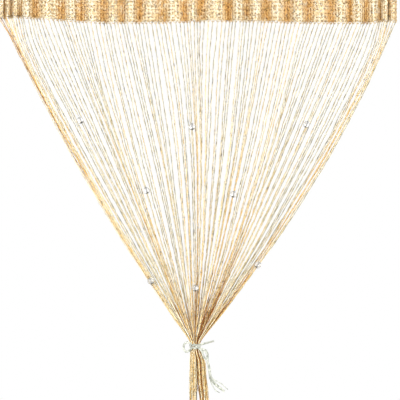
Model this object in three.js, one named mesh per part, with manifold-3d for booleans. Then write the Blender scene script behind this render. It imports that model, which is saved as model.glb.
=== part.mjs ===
// A bead curtain: a gathered knitted heading, its strings drawn into one ribbon tie, and clear beads on seven
// of the strings.
// Millimetres. X runs to the viewer's right, +Z is up, and the viewer looks along +Y.
// The origin is the middle of the heading's top edge.
import * as THREE from "three";
import { mergeVertices } from "three/addons/utils/BufferGeometryUtils.js";
import Module from "manifold-3d";

const wasm = await Module();
wasm.setup();

// Driving sizes
const GAP = 0.3;
const HEADING = { height: 45, thickness: 1.5, flatWidth: 1000, scallop: 0.7, topDepth: 0.85, roundness: 1.3 };
const ROOT_STRIP = { height: 2.5, cover: 1.2, gap: 0.5 };
const STRING = { count: 114, length: 1955, radius: 0.62, sides: 3, pitch: 1.42, layers: 5 };
const TIE = { x: -4, z: -576, height: 7, wall: 1.1, grip: 6.5, sides: 24 };
const KNOT = { x: -1, width: 8.4, depth: 5.6, height: 8, meridians: 10, parallels: 7 };
const RIBBON = { width: 3.4, thickness: 1.2, sides: 6, steps: 18 };
const TIE_END = { sides: 8, stepsPerWidth: 0.4 };
const BEAD = { radius: 5.6, hole: 1.15, sides: 8, arcs: 4 };
// Where beads sit: the straight run through one, its string's shoulders, its clearance and the spacing below.
const THREADING = { straight: 8, shoulder: 45, clearance: 0.5, lean: 0.85, repeat: 530, endMargin: 60 };
const STEPS_PER_FOLD = 5;
// The fold depths between which the gathered band's own depth is searched, and how often the span is halved.
const DEPTH_SEARCH = { low: 1, high: 80, halvings: 40 };
// The wall's corners are moved outwards no further than by the inverse of this cosine.
const SHARPEST_BEND = 0.75;

// How strings are kept apart: passes over a level, its tolerance, and the share at which depth order is read.
const SPREAD = { rounds: 80, tolerance: 0.01, sortShare: 0.75 };
// Beaded strings run this many layers in front of the rest.
const BEADED_LAYER = -1.5;
// How much a string's place in front counts, against its place across, when a bead's string is chosen.
const FRONT_CHOICE = 0.3;
// The step that scatters the strings' layers evenly, and how far across the strings stray and by which step.
const GOLDEN_STEP = 0.618034;
const STRAY = { reach: 2.5, step: 0.6457513 };
// Every other column of places in the tie is shifted by this much of the pitch, each way.
const COLUMN_SHIFT = 0.25;

// How far the outermost string on each side sags outwards, halfway down to the tie.
const SAG = { left: 16, right: 26 };

// The heading's lower edge. The gathering and the strings pull it up at the left and a little past the middle.
const EDGE = [
  { x: -327, z: -38 },
  { x: -300, z: -35.5 },
  { x: -250, z: -38.5 },
  { x: -190, z: -43 },
  { x: -160, z: -45 },
  { x: -60, z: -45 },
  { x: 20, z: -42 },
  { x: 100, z: -43 },
  { x: 180, z: -45.5 },
  { x: 285, z: -45.5 },
  { x: 308, z: -41.5 },
  { x: 328, z: -44 },
];

// The heading's recesses from left to right: where each lies and how deep its fold is next to the others.
const FOLDS = [
  { x: -326, depth: 0.7 },
  { x: -316, depth: 0.85 },
  { x: -306, depth: 0.8 },
  { x: -292, depth: 0.8 },
  { x: -268, depth: 1.15 },
  { x: -222, depth: 1.1 },
  { x: -192, depth: 0.85 },
  { x: -153, depth: 1.0 },
  { x: -124, depth: 0.9 },
  { x: -96, depth: 0.9 },
  { x: -58, depth: 1.0 },
  { x: -20, depth: 0.8 },
  { x: 3, depth: 1.0 },
  { x: 52, depth: 1.1 },
  { x: 80, depth: 0.95 },
  { x: 112, depth: 1.0 },
  { x: 148, depth: 0.95 },
  { x: 181, depth: 0.95 },
  { x: 219, depth: 0.9 },
  { x: 250, depth: 0.85 },
  { x: 276, depth: 0.9 },
  { x: 301, depth: 1.0 },
  { x: 314, depth: 0.9 },
  { x: 327, depth: 0.6 },
];

// The bunches that the strings run in: where each starts, how far it wanders, its half width, its pull,
// and the share of the way down by which it has fully drawn in.
const BUNCHES = [
  { x: -317, drift: -5, width: 40, pull: 0.9, drawn: 0.14 },
  { x: -255, drift: 30, width: 35, pull: 0.8, drawn: 0.625 },
  { x: -200, drift: 25, width: 35, pull: 0.9, drawn: 0.625 },
  { x: -105, drift: 45, width: 20, pull: 0.85, drawn: 0.625 },
  { x: -25, drift: 0, width: 50, pull: 0.85, drawn: 0.625 },
  { x: 20, drift: 40, width: 50, pull: 0.85, drawn: 0.625 },
  { x: 100, drift: 5, width: 50, pull: 0.9, drawn: 0.625 },
  { x: 170, drift: 25, width: 45, pull: 0.9, drawn: 0.625 },
  { x: 230, drift: -45, width: 40, pull: 0.4, drawn: 0.625 },
  { x: 323, drift: 10, width: 25, pull: 0.9, drawn: 0.14 },
];

// The strings' bends: shares of the way down to the tie, then the two locks of the tail.
// spacing is the least that two strings keep from each other there.
const UPPER = [
  { share: 0, spacing: 0 },
  { share: 0.07, spacing: 2.8 },
  { share: 0.18, spacing: 3.4 },
  { share: 0.42, spacing: 3.2 },
  { share: 0.68, spacing: 2.6 },
  { share: 0.9, spacing: 2.0 },
];
const TAIL = [
  { z: -600, left: -6.1, right: 5.3, spread: 1.5 },
  { z: -640, left: -5.9, right: 7.4, spread: 1.62 },
  { z: -668, left: -6.4, right: 11.4, spread: 1.5 },
  { z: -1200, left: -11.5, right: 12.5, spread: 1.95 },
  { z: -2000, left: -12.5, right: 12.5, spread: 2.6 },
];

const TAIL_SWAY = { reach: 2, rate: 0.35 };

// The beads above the tie: each string by its place in the heading, and how far down it each bead hangs.
const BEADS = [
  { x: -314, drops: [492] },
  { x: -263, drops: [183] },
  { x: -149, drops: [283] },
  { x: -23, drops: [173, 437] },
  { x: 110, drops: [288] },
  { x: 245, drops: [179] },
  { x: 319, drops: [457] },
];

// The ribbon's loops and free ends, each a route chosen by hand, from the tie outwards.
const LEFT_LOOP = [
  [-9, -9.5, -574],
  [-15, -11, -569.5],
  [-21, -10.5, -572],
  [-22.6, -9.5, -579],
  [-19, -9, -585],
  [-13.5, -9.5, -583],
  [-8.5, -10, -577.5],
];
const RIGHT_LOOP = [
  [1, -10.2, -577],
  [7.5, -11.4, -580.5],
  [14, -12, -583],
  [16.6, -12.5, -590],
  [13, -13.8, -596.5],
  [9.5, -14.4, -591],
  [6.5, -12.6, -583],
  [1.5, -10.8, -578.5],
];
const UPPER_END = {
  width: 3.2,
  route: [
    [4.6, -11.6, -573.6],
    [9.2, -14.6, -571.8],
    [13.6, -18.2, -570.3],
    [17.6, -22.2, -568.8],
    [21.2, -26.4, -567.4],
    [24.4, -30.2, -566.2],
    [26.6, -33.6, -565.4],
  ],
};
const LOWER_END = {
  width: 4.5,
  route: [
    [16.2, -12.6, -600.4],
    [17.8, -12.6, -605],
    [19.2, -12.6, -611.5],
    [19.9, -12.7, -620],
    [22, -12.9, -628],
    [26.6, -13.2, -635],
    [33, -13.4, -640.5],
    [39, -13.4, -645.3],
    [44, -13, -649.5],
  ],
};

const COLOURS = {
  heading: { color: 0xe0c291, roughness: 0.42, metalness: 0.55 },
  strings: { color: 0xdcbf85, roughness: 0.4, metalness: 0.5 },
  beads: { color: 0xf2f2ee, roughness: 0.05, metalness: 0.0 },
  ribbon: { color: 0xf4f4ef, roughness: 0.35, metalness: 0.0 },
};

const lerp = THREE.MathUtils.lerp;

// Solids

function signedVolume(points, faces) {
  return faces.reduce((sum, [a, b, c]) => {
    const cross = new THREE.Vector3().crossVectors(points[b], points[c]);
    return sum + points[a].dot(cross) / 6;
  }, 0);
}

// A closed body through rings of equally many points, with flat ends.
function loft(rings) {
  const points = rings.flat();
  const around = rings[0].length;
  const last = (rings.length - 1) * around;
  const faces = [];
  for (let r = 0; r < rings.length - 1; r++) {
    for (let k = 0; k < around; k++) {
      const a = r * around + k;
      const b = r * around + ((k + 1) % around);
      faces.push([a, b, b + around], [a, b + around, a + around]);
    }
  }
  for (let k = 1; k < around - 1; k++) {
    faces.push([0, k + 1, k], [last, last + k, last + k + 1]);
  }
  if (signedVolume(points, faces) < 0) faces.forEach((face) => face.reverse());
  const geometry = new THREE.BufferGeometry().setFromPoints(points);
  geometry.setIndex(faces.flat());
  return geometry;
}

function toSolid(geometry) {
  const bare = geometry.clone();
  bare.deleteAttribute("normal");
  bare.deleteAttribute("uv");
  const merged = mergeVertices(bare, 1e-4);
  return new wasm.Manifold(
    new wasm.Mesh({
      numProp: 3,
      vertProperties: new Float32Array(merged.attributes.position.array),
      triVerts: new Uint32Array(merged.index.array),
    }),
  );
}

function toGeometry(solid) {
  const { numProp, vertProperties, triVerts } = solid.getMesh();
  const geometry = new THREE.BufferGeometry();
  geometry.setAttribute("position", new THREE.BufferAttribute(vertProperties.slice(), numProp));
  geometry.setIndex(new THREE.BufferAttribute(triVerts.slice(), 1));
  geometry.computeVertexNormals();
  return geometry;
}

function namedMesh(name, geometry, finish) {
  const mesh = new THREE.Mesh(geometry, new THREE.MeshStandardMaterial(finish));
  mesh.name = name;
  return mesh;
}

// A flattened tube along a route.
function ribbonAlong(route, width, thickness, sides, steps) {
  const section = new THREE.Shape(
    Array.from({ length: sides }, (_, k) => {
      const angle = ((k + 0.5) * 2 * Math.PI) / sides;
      return new THREE.Vector2((width / 2) * Math.cos(angle), (thickness / 2) * Math.sin(angle));
    }),
  );
  const path = new THREE.CatmullRomCurve3(route.map((p) => new THREE.Vector3(...p)));
  return new THREE.ExtrudeGeometry(section, { steps, extrudePath: path });
}

// The heading's folds

// How far behind the curtain's middle plane the heading lies at x: whole folds swing by 1.
function foldAt(x) {
  const next = FOLDS.findIndex((fold, k) => k > 0 && x <= fold.x);
  const right = FOLDS[next < 0 ? FOLDS.length - 1 : next];
  const left = FOLDS[FOLDS.indexOf(right) - 1];
  const share = THREE.MathUtils.clamp((x - left.x) / (right.x - left.x), 0, 1);
  const swing = 0.5 - Math.sin(Math.PI * share) ** HEADING.roundness;
  return swing * lerp(left.depth, right.depth, share);
}

const FOLD_XS = FOLDS.slice(1).flatMap((fold, k) =>
  Array.from({ length: STEPS_PER_FOLD }, (_, j) => lerp(FOLDS[k].x, fold.x, j / STEPS_PER_FOLD)),
);
FOLD_XS.push(FOLDS.at(-1).x);

function planLength(depth) {
  let length = 0;
  for (let k = 1; k < FOLD_XS.length; k++) {
    const step = FOLD_XS[k] - FOLD_XS[k - 1];
    length += Math.hypot(step, depth * (foldAt(FOLD_XS[k]) - foldAt(FOLD_XS[k - 1])));
  }
  return length;
}

// The fold depth at which the gathered band is as long as the flat one.
function solveFoldDepth() {
  let low = DEPTH_SEARCH.low;
  let high = DEPTH_SEARCH.high;
  for (let k = 0; k < DEPTH_SEARCH.halvings; k++) {
    const middle = (low + high) / 2;
    if (planLength(middle) < HEADING.flatWidth) low = middle;
    else high = middle;
  }
  return low;
}

const FOLD_DEPTH = solveFoldDepth();

function planPoints(depth) {
  return FOLD_XS.map((x) => new THREE.Vector2(x, depth * foldAt(x)));
}

// The lower edge follows its table and dips a little on each fold's front.
function edgeZ(x) {
  const next = EDGE.findIndex((row, k) => k > 0 && x <= row.x);
  const right = EDGE[next < 0 ? EDGE.length - 1 : next];
  const left = EDGE[EDGE.indexOf(right) - 1];
  const share = THREE.MathUtils.clamp((x - left.x) / (right.x - left.x), 0, 1);
  return lerp(left.z, right.z, share) + HEADING.scallop * 2 * foldAt(x);
}

// Unit normals of a plan line, longer at a bend so that a wall keeps its thickness there.
function planNormals(points) {
  return points.map((point, k) => {
    const before = points[Math.max(k - 1, 0)];
    const after = points[Math.min(k + 1, points.length - 1)];
    const into = point.clone().sub(before).normalize();
    const out = after.clone().sub(point).normalize();
    const along = into.clone().add(out).normalize();
    const bend = Math.max(SHARPEST_BEND, along.dot(k > 0 ? into : out));
    return new THREE.Vector2(-along.y, along.x).divideScalar(bend);
  });
}

// A wall that follows the folds between heights; levels are { z(x), depth }.
function foldedWall(levels, thickness) {
  const sides = levels.map(({ z, depth }) => {
    const points = planPoints(depth);
    const normals = planNormals(points);
    return points.map((point, k) => {
      const shift = normals[k].clone().multiplyScalar(thickness / 2);
      const height = z(point.x);
      return {
        front: new THREE.Vector3(point.x - shift.x, point.y - shift.y, height),
        back: new THREE.Vector3(point.x + shift.x, point.y + shift.y, height),
      };
    });
  });
  const rings = FOLD_XS.map((_, k) => [
    ...sides.map((level) => level[k].front),
    ...sides.map((level) => level[k].back).reverse(),
  ]);
  return loft(rings);
}

function headingGeometry() {
  return foldedWall(
    [
      { z: () => 0, depth: FOLD_DEPTH * HEADING.topDepth },
      { z: edgeZ, depth: FOLD_DEPTH },
    ],
    HEADING.thickness,
  );
}

function rootStripGeometry() {
  const top = (x) => edgeZ(x) - ROOT_STRIP.gap;
  return foldedWall(
    [
      { z: top, depth: FOLD_DEPTH },
      { z: (x) => top(x) - ROOT_STRIP.height, depth: FOLD_DEPTH },
    ],
    HEADING.thickness,
  );
}

// The strings' ways

// Where each string leaves the band, at even steps along the flat edge.
function stringRoots() {
  const points = planPoints(FOLD_DEPTH);
  const flatStep = planLength(FOLD_DEPTH) / STRING.count;
  const roots = [];
  let walked = 0;
  for (let k = 1; k < points.length; k++) {
    const length = points[k].distanceTo(points[k - 1]);
    while (roots.length < STRING.count && (roots.length + 0.5) * flatStep <= walked + length) {
      const share = ((roots.length + 0.5) * flatStep - walked) / length;
      const place = points[k - 1].clone().lerp(points[k], share);
      roots.push(new THREE.Vector3(place.x, place.y, edgeZ(place.x) - ROOT_STRIP.gap - ROOT_STRIP.cover));
    }
    walked += length;
  }
  return roots;
}

// Close-packed places in the tie, column by column from the left.
function tieSlots() {
  const columnStep = STRING.pitch * Math.sin(Math.PI / 3);
  const reach = Math.ceil(Math.sqrt(STRING.count));
  const slots = [];
  for (let column = -reach; column <= reach; column++) {
    for (let row = -reach; row <= reach; row++) {
      const offset = column % 2 === 0 ? COLUMN_SHIFT : -COLUMN_SHIFT;
      slots.push({ column, x: column * columnStep, y: (row + offset) * STRING.pitch });
    }
  }
  slots.sort((a, b) => Math.hypot(a.x, a.y) - Math.hypot(b.x, b.y));
  return slots.slice(0, STRING.count).sort((a, b) => a.column - b.column || a.y - b.y);
}

// An even scatter in -1 to 1 that never repeats.
function scatter(index, step) {
  return 2 * ((index * step) % 1) - 1;
}

// The heading coordinate of a string once its bunch has pulled it, at a share of the way down.
function bunchedX(x, share) {
  return BUNCHES.reduce((moved, bunch) => {
    const grip = Math.sin((Math.PI / 2) * Math.min(1, share / bunch.drawn));
    const near = Math.exp(-(((x - bunch.x) / bunch.width) ** 2));
    return moved + bunch.pull * grip * near * (bunch.x + bunch.drift * share - x);
  }, x);
}

// Pushes the strings of one level apart until no two are nearer than the spacing.
function spreadLevel(points, spacing) {
  for (let round = 0; round < SPREAD.rounds; round++) {
    let worst = 0;
    for (let i = 0; i < points.length; i++) {
      for (let j = i + 1; j < points.length; j++) {
        const dx = points[j].x - points[i].x;
        const dy = points[j].y - points[i].y;
        const distance = Math.max(Math.hypot(dx, dy), 1e-3);
        if (distance >= spacing) continue;
        const push = (spacing - distance) / 2 / distance;
        points[i].x -= dx * push;
        points[i].y -= dy * push;
        points[j].x += dx * push;
        points[j].y += dy * push;
        worst = Math.max(worst, spacing - distance);
      }
    }
    if (worst < SPREAD.tolerance) return;
  }
}

// The string that leaves the band nearest to x, with a liking for the fronts of the folds.
function nearestString(roots, x) {
  const misses = roots.map((root) => Math.abs(root.x - x) + FRONT_CHOICE * root.y);
  return misses.indexOf(Math.min(...misses));
}

const ROOTS = stringRoots();
const SLOTS = tieSlots();
const BEADED = BEADS.map((row) => ({ ...row, string: nearestString(ROOTS, row.x) }));

function isBeaded(index) {
  return BEADED.some((row) => row.string === index);
}

function upperPoint(index, slot, share) {
  const root = ROOTS[index];
  const away = Math.sin(Math.PI * share);
  const layer = STRING.layers * (isBeaded(index) ? BEADED_LAYER : scatter(index, GOLDEN_STEP)) * away;
  const stray = STRAY.reach * scatter(index, STRAY.step) * away;
  const edge = root.x < 0 ? { x: FOLDS[0].x, sag: -SAG.left } : { x: FOLDS.at(-1).x, sag: SAG.right };
  const sag = edge.sag * (root.x / edge.x) * 4 * share * (1 - share);
  return {
    x: lerp(bunchedX(root.x, share), TIE.x + slot.x, share) + sag + stray,
    y: lerp(root.y, slot.y, share) + layer,
    z: lerp(root.z, TIE.z + TIE.grip, share),
  };
}

// Gives each string a place in the tie. Columns keep the heading's order, and each column its depth order.
function assignSlots() {
  const taken = [];
  let first = 0;
  while (first < SLOTS.length) {
    const column = SLOTS.filter((slot) => slot.column === SLOTS[first].column);
    const strings = column.map((_, k) => first + k);
    const middle = { x: 0, y: 0 };
    const depth = (index) => (isBeaded(index) ? -Infinity : upperPoint(index, middle, SPREAD.sortShare).y);
    strings.sort((a, b) => depth(a) - depth(b));
    strings.forEach((index, k) => {
      taken[index] = column[k];
    });
    first += column.length;
  }
  return taken;
}

const PLACES = assignSlots();
const SPLIT = { left: mean(PLACES.filter((p) => p.x < 0)), right: mean(PLACES.filter((p) => p.x >= 0)) };

function mean(slots) {
  return slots.reduce((sum, slot) => sum + slot.x, 0) / slots.length;
}

function tailPoint(index, row) {
  const slot = PLACES[index];
  const side = slot.x < 0 ? "left" : "right";
  const sway = (row.spread - 1) * TAIL_SWAY.reach;
  return {
    x: row[side] + (slot.x - SPLIT[side]) * row.spread + sway * Math.sin(TAIL_SWAY.rate * slot.y),
    y: slot.y * row.spread + sway * Math.cos(TAIL_SWAY.rate * slot.x),
    z: row.z,
  };
}

// Every string's bends from root to tip, as Vector3 lists.
function stringWays() {
  const levels = UPPER.map(({ share, spacing }) => {
    const level = ROOTS.map((_, k) => upperPoint(k, PLACES[k], share));
    spreadLevel(level, spacing);
    return level;
  });
  for (const z of [TIE.z + TIE.grip, TIE.z - TIE.grip]) {
    levels.push(PLACES.map((slot) => ({ x: TIE.x + slot.x, y: slot.y, z })));
  }
  for (const row of TAIL) levels.push(ROOTS.map((_, k) => tailPoint(k, row)));
  const pointOf = ({ x, y, z }) => new THREE.Vector3(x, y, z);
  const ways = ROOTS.map((_, k) => levels.map((level) => pointOf(level[k])));
  ways.forEach(trimToLength);
  return ways;
}

// Moves a string's tip up or down so that the whole string has its length.
function trimToLength(way) {
  const tip = way.at(-1);
  const above = way.at(-2);
  let length = 0;
  for (let k = 1; k < way.length - 1; k++) length += way[k].distanceTo(way[k - 1]);
  const share = (STRING.length - length) / tip.distanceTo(above);
  tip.lerpVectors(above, tip.clone(), share);
}

function pointAtHeight(way, z) {
  const next = Math.max(1, way.findIndex((point) => point.z <= z));
  const share = (way[next - 1].z - z) / (way[next - 1].z - way[next].z);
  return new THREE.Vector3().lerpVectors(way[next - 1], way[next], share);
}

function pointAtDrop(way, drop) {
  let walked = 0;
  for (let k = 1; k < way.length; k++) {
    const length = way[k].distanceTo(way[k - 1]);
    if (walked + length >= drop) {
      return new THREE.Vector3().lerpVectors(way[k - 1], way[k], (drop - walked) / length);
    }
    walked += length;
  }
  return way.at(-1).clone();
}

// The beads

// A bead lies just in front of every string that it would touch.
function beadFront(ways, own, centre) {
  const reach = BEAD.radius + STRING.radius + THREADING.clearance;
  return ways.reduce((front, way, index) => {
    if (index === own) return front;
    const other = pointAtHeight(way, centre.z);
    const aside = Math.abs(other.x - centre.x) * THREADING.lean;
    if (aside >= reach) return front;
    return Math.min(front, other.y - Math.sqrt(reach ** 2 - aside ** 2));
  }, centre.y);
}

// Sets each bead on its string, which comes forward there and runs straight through it.
function placeBeads(ways) {
  const beads = [];
  for (const { string, drops } of BEADED) {
    const way = ways[string];
    const all = [...drops];
    let tailDrop = drops.at(-1) + THREADING.repeat;
    while (tailDrop < STRING.length - THREADING.endMargin) {
      all.push(tailDrop);
      tailDrop += THREADING.repeat;
    }
    const spots = all.map((drop) => pointAtDrop(way, drop)).filter((spot) => outsideTie(spot.z));
    for (const spot of spots) {
      const front = beadFront(ways, string, spot);
      const ends = [THREADING.straight, -THREADING.straight].map((rise) => {
        const end = pointAtHeight(way, spot.z + rise);
        return new THREE.Vector3(end.x, front, end.z);
      });
      threadBead(way, spot.z, ends);
      beads.push({ centre: ends[0].clone().lerp(ends[1], 0.5), along: ends[0].clone().sub(ends[1]) });
    }
  }
  return beads;
}

function outsideTie(z) {
  const margin = TIE.grip + THREADING.straight + BEAD.radius;
  return z > TIE.z + margin || z < TIE.z - margin;
}

// The string leaves its own line only between two shoulders, above and below the bead.
function threadBead(way, z, ends) {
  const upper = pointAtHeight(way, z + THREADING.shoulder);
  const lower = pointAtHeight(way, z - THREADING.shoulder);
  const above = way.filter((point) => point.z > upper.z);
  const below = way.filter((point) => point.z < lower.z);
  way.splice(0, way.length, ...above, upper, ...ends, lower, ...below);
}

function beadGeometry() {
  const tip = Math.acos(BEAD.hole / BEAD.radius);
  const profile = Array.from({ length: BEAD.arcs + 1 }, (_, k) => {
    const angle = lerp(-tip, tip, k / BEAD.arcs);
    return new THREE.Vector2(BEAD.radius * Math.cos(angle), BEAD.radius * Math.sin(angle));
  });
  return new THREE.LatheGeometry([...profile, profile[0].clone()], BEAD.sides);
}

// Strings as thin strands, fused only at their roots
function strandGeometry(way) {
  const rings = way.map((point) =>
    Array.from({ length: STRING.sides }, (_, k) => {
      const angle = (k * 2 * Math.PI) / STRING.sides - Math.PI / 2;
      const x = point.x + STRING.radius * Math.cos(angle);
      const y = point.y + STRING.radius * Math.sin(angle);
      return new THREE.Vector3(x, y, point.z);
    }),
  );
  return loft(rings);
}

function stringsGeometry(ways) {
  const strip = toSolid(rootStripGeometry());
  return toGeometry(wasm.Manifold.union([strip, ...ways.map((way) => toSolid(strandGeometry(way)))]));
}

// The ribbon tie: a band round all the strings, a knot in front and a loop on each side, as one piece
function tieGeometry() {
  const bundle = Math.max(...SLOTS.map((slot) => Math.hypot(slot.x, slot.y))) + STRING.radius;
  const inner = bundle + GAP;
  const outer = inner + TIE.wall;
  const half = TIE.height / 2;
  const profile = [
    [inner, -half],
    [outer, -half],
    [outer + TIE.wall / 2, 0],
    [outer, half],
    [inner, half],
    [inner, -half],
  ];
  const band = new THREE.LatheGeometry(profile.map(([r, z]) => new THREE.Vector2(r, z)), TIE.sides);
  band.rotateX(Math.PI / 2);
  band.translate(TIE.x, 0, TIE.z);
  const knot = new THREE.SphereGeometry(1, KNOT.meridians, KNOT.parallels);
  knot.scale(KNOT.width / 2, KNOT.depth / 2, KNOT.height / 2);
  knot.translate(KNOT.x, -outer - KNOT.depth / 2 + TIE.wall / 2, TIE.z);
  const loops = [LEFT_LOOP, RIGHT_LOOP].map((route) =>
    ribbonAlong(route, RIBBON.width, RIBBON.thickness, RIBBON.sides, RIBBON.steps),
  );
  return toGeometry(wasm.Manifold.union([band, knot, ...loops].map(toSolid)));
}

function tieEndGeometry({ width, route }) {
  const path = new THREE.CatmullRomCurve3(route.map((p) => new THREE.Vector3(...p)));
  const steps = Math.ceil((path.getLength() / width) * TIE_END.stepsPerWidth) + route.length;
  return ribbonAlong(route, width, width, TIE_END.sides, steps);
}

// The whole curtain
const curtain = new THREE.Group();
const ways = stringWays();
const beads = placeBeads(ways);

curtain.add(namedMesh("heading", headingGeometry(), COLOURS.heading));
curtain.add(namedMesh("strings", stringsGeometry(ways), COLOURS.strings));
beads.forEach(({ centre, along }, k) => {
  const name = "bead_" + String(k + 1).padStart(2, "0");
  const bead = namedMesh(name, beadGeometry(), COLOURS.beads);
  bead.position.copy(centre);
  bead.quaternion.setFromUnitVectors(new THREE.Vector3(0, 1, 0), along.normalize());
  curtain.add(bead);
});
curtain.add(namedMesh("tie", tieGeometry(), COLOURS.ribbon));
curtain.add(namedMesh("tie_end_upper", tieEndGeometry(UPPER_END), COLOURS.ribbon));
curtain.add(namedMesh("tie_end_lower", tieEndGeometry(LOWER_END), COLOURS.ribbon));

export default curtain;
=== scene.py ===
"""A gold bead curtain, drawn into a ribbon tie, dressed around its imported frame.

Everything is in metres in the frame's own axes: X to the viewer's right, Z up, and the viewer looks along +Y.
The tables of sizes are in millimetres, as a maker would write them, and MM turns them into metres.
"""
import logging
import math
from dataclasses import dataclass, field
from enum import Enum
from typing import Iterable, Optional, Sequence

import bpy
import numpy as np
from mathutils import Matrix, Vector

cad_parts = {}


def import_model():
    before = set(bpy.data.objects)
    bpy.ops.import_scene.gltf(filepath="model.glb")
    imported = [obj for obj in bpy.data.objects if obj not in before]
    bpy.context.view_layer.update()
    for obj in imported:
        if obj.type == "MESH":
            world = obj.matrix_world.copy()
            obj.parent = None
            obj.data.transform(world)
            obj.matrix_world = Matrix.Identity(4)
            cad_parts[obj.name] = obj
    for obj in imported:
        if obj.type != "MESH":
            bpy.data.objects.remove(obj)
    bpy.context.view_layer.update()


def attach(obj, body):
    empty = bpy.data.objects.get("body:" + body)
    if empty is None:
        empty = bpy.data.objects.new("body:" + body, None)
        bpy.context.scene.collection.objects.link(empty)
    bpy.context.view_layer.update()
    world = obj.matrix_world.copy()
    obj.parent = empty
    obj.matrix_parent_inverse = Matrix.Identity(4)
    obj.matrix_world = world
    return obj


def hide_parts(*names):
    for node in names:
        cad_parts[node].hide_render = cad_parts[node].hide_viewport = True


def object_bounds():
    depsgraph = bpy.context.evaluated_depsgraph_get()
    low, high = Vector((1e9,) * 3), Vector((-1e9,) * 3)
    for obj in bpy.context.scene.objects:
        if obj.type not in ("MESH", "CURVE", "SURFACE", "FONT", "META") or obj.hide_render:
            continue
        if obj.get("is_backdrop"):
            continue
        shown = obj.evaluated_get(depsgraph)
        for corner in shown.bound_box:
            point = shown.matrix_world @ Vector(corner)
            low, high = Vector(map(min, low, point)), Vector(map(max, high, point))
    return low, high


LOG = logging.getLogger("bead_curtain")
MM = 0.001
BODY = "root"
SEED = 7
Z_AXIS = np.array([0.0, 0.0, 1.0])
Y_AXIS = np.array([0.0, 1.0, 0.0])
CURVE_STEPS = 24
BEND_SHARE = 0.45


class Slot(Enum):
    """The record's material slots."""

    HEADING = "heading_knit"
    STRING = "string_yarn"
    BEAD = "bead_clear"
    RIBBON = "ribbon"


class Shade(Enum):
    """How a mesh's faces are shaded."""

    SMOOTH = True
    FLAT = False


# Mesh tools


@dataclass
class MeshStore:
    """Collects swept rings and loose faces into one mesh.

    Attributes:
        names: The names of the numbers that each vertex carries.
        verts: The vertices so far, in metres.
        faces: The faces so far, as numbers of vertices.
        marks: The numbers that the vertices carry.
        size: How many vertices there are.
    """

    names: tuple[str, ...] = ()
    verts: list[np.ndarray] = field(default_factory=list)
    faces: list[list[int]] = field(default_factory=list)
    marks: list[np.ndarray] = field(default_factory=list)
    size: int = 0

    def add(self, verts: np.ndarray, faces: Iterable[Sequence[int]],
            marks: Optional[np.ndarray] = None) -> None:
        """Adds loose vertices and faces.

        Args:
            verts: Points, one row each.
            faces: Lists of indices into those points.
            marks: For each point one number for each name, or None where there are no names.
        """
        start = self.size
        self.faces.extend([index + start for index in face] for face in faces)
        self.verts.append(verts)
        if marks is not None:
            self.marks.append(marks.reshape(len(verts), len(self.names)))
        self.size += len(verts)

    def sweep(self, rings: np.ndarray, marks: Optional[np.ndarray] = None, joined: bool = False) -> None:
        """Adds a closed skin over rings of points.

        Args:
            rings: An array of rings by points by three coordinates.
            marks: The points' numbers, in the same layout, or None where there are no names.
            joined: True if the last ring runs on into the first, as on a hoop.
        """
        count, around = rings.shape[:2]
        steps = count if joined else count - 1
        ring = (np.arange(steps)[:, None] * around)
        after = (((np.arange(steps) + 1) % count)[:, None] * around)
        here = np.arange(around)[None, :]
        there = (here + 1) % around
        quads = np.stack([ring + here, ring + there, after + there, after + here], axis=-1).reshape(-1, 4)
        faces = quads.tolist()
        if not joined:
            faces.append(list(range(around - 1, -1, -1)))
            faces.append(list(range((count - 1) * around, count * around)))
        self.add(rings.reshape(-1, 3), faces, marks)

    def build(self, name: str, material: bpy.types.Material, shade: Shade) -> bpy.types.Object:
        """Makes the object.

        Args:
            name: The piece's name.
            material: Its one material.
            shade: Smooth or flat faces.

        Returns:
            The new object, with its mesh facing outwards.
        """
        mesh = bpy.data.meshes.new(name)
        mesh.from_pydata(np.concatenate(self.verts).tolist(), [], self.faces)
        mesh.polygons.foreach_set("use_smooth", [shade.value] * len(mesh.polygons))
        for column, mark in enumerate(self.names):
            layer = mesh.attributes.new(mark, "FLOAT", "POINT")
            layer.data.foreach_set("value", np.concatenate(self.marks)[:, column].astype(np.float32))
        mesh.materials.append(material)
        mesh.update()
        piece = bpy.data.objects.new(name, mesh)
        bpy.context.scene.collection.objects.link(piece)
        face_outwards(mesh)
        return piece


def face_outwards(mesh: bpy.types.Mesh) -> None:
    """Turns every face round if the mesh's volume is negative.

    Args:
        mesh: A closed mesh, or several that are all wound alike.
    """
    mesh.calc_loop_triangles()
    corners = np.empty(len(mesh.loop_triangles) * 3, dtype=np.int64)
    mesh.loop_triangles.foreach_get("vertices", corners)
    points = np.empty(len(mesh.vertices) * 3)
    mesh.vertices.foreach_get("co", points)
    a, b, c = points.reshape(-1, 3)[corners.reshape(-1, 3)].transpose(1, 0, 2)
    if np.einsum("ij,ij->", a, np.cross(b, c)) < 0:
        mesh.flip_normals()


def unit(vectors: np.ndarray) -> np.ndarray:
    """The vectors at length one."""
    return vectors / np.maximum(np.linalg.norm(vectors, axis=-1, keepdims=True), 1e-12)


def walked_along(path: np.ndarray) -> np.ndarray:
    """How far along a line through points each point is."""
    return np.concatenate([[0], np.cumsum(np.linalg.norm(np.diff(path, axis=0), axis=1))])


def frames_along(path: np.ndarray, reference: np.ndarray) -> tuple[np.ndarray, np.ndarray]:
    """Two directions across a path.

    Args:
        path: Points along the path.
        reference: One direction, or one for each point, that the second direction stays close to.

    Returns:
        The direction across both the path and the reference, and the one nearest the reference.
    """
    along = unit(np.gradient(path, axis=0))
    across = unit(np.cross(along, np.broadcast_to(reference, path.shape)))
    return across, np.cross(across, along)


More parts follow.
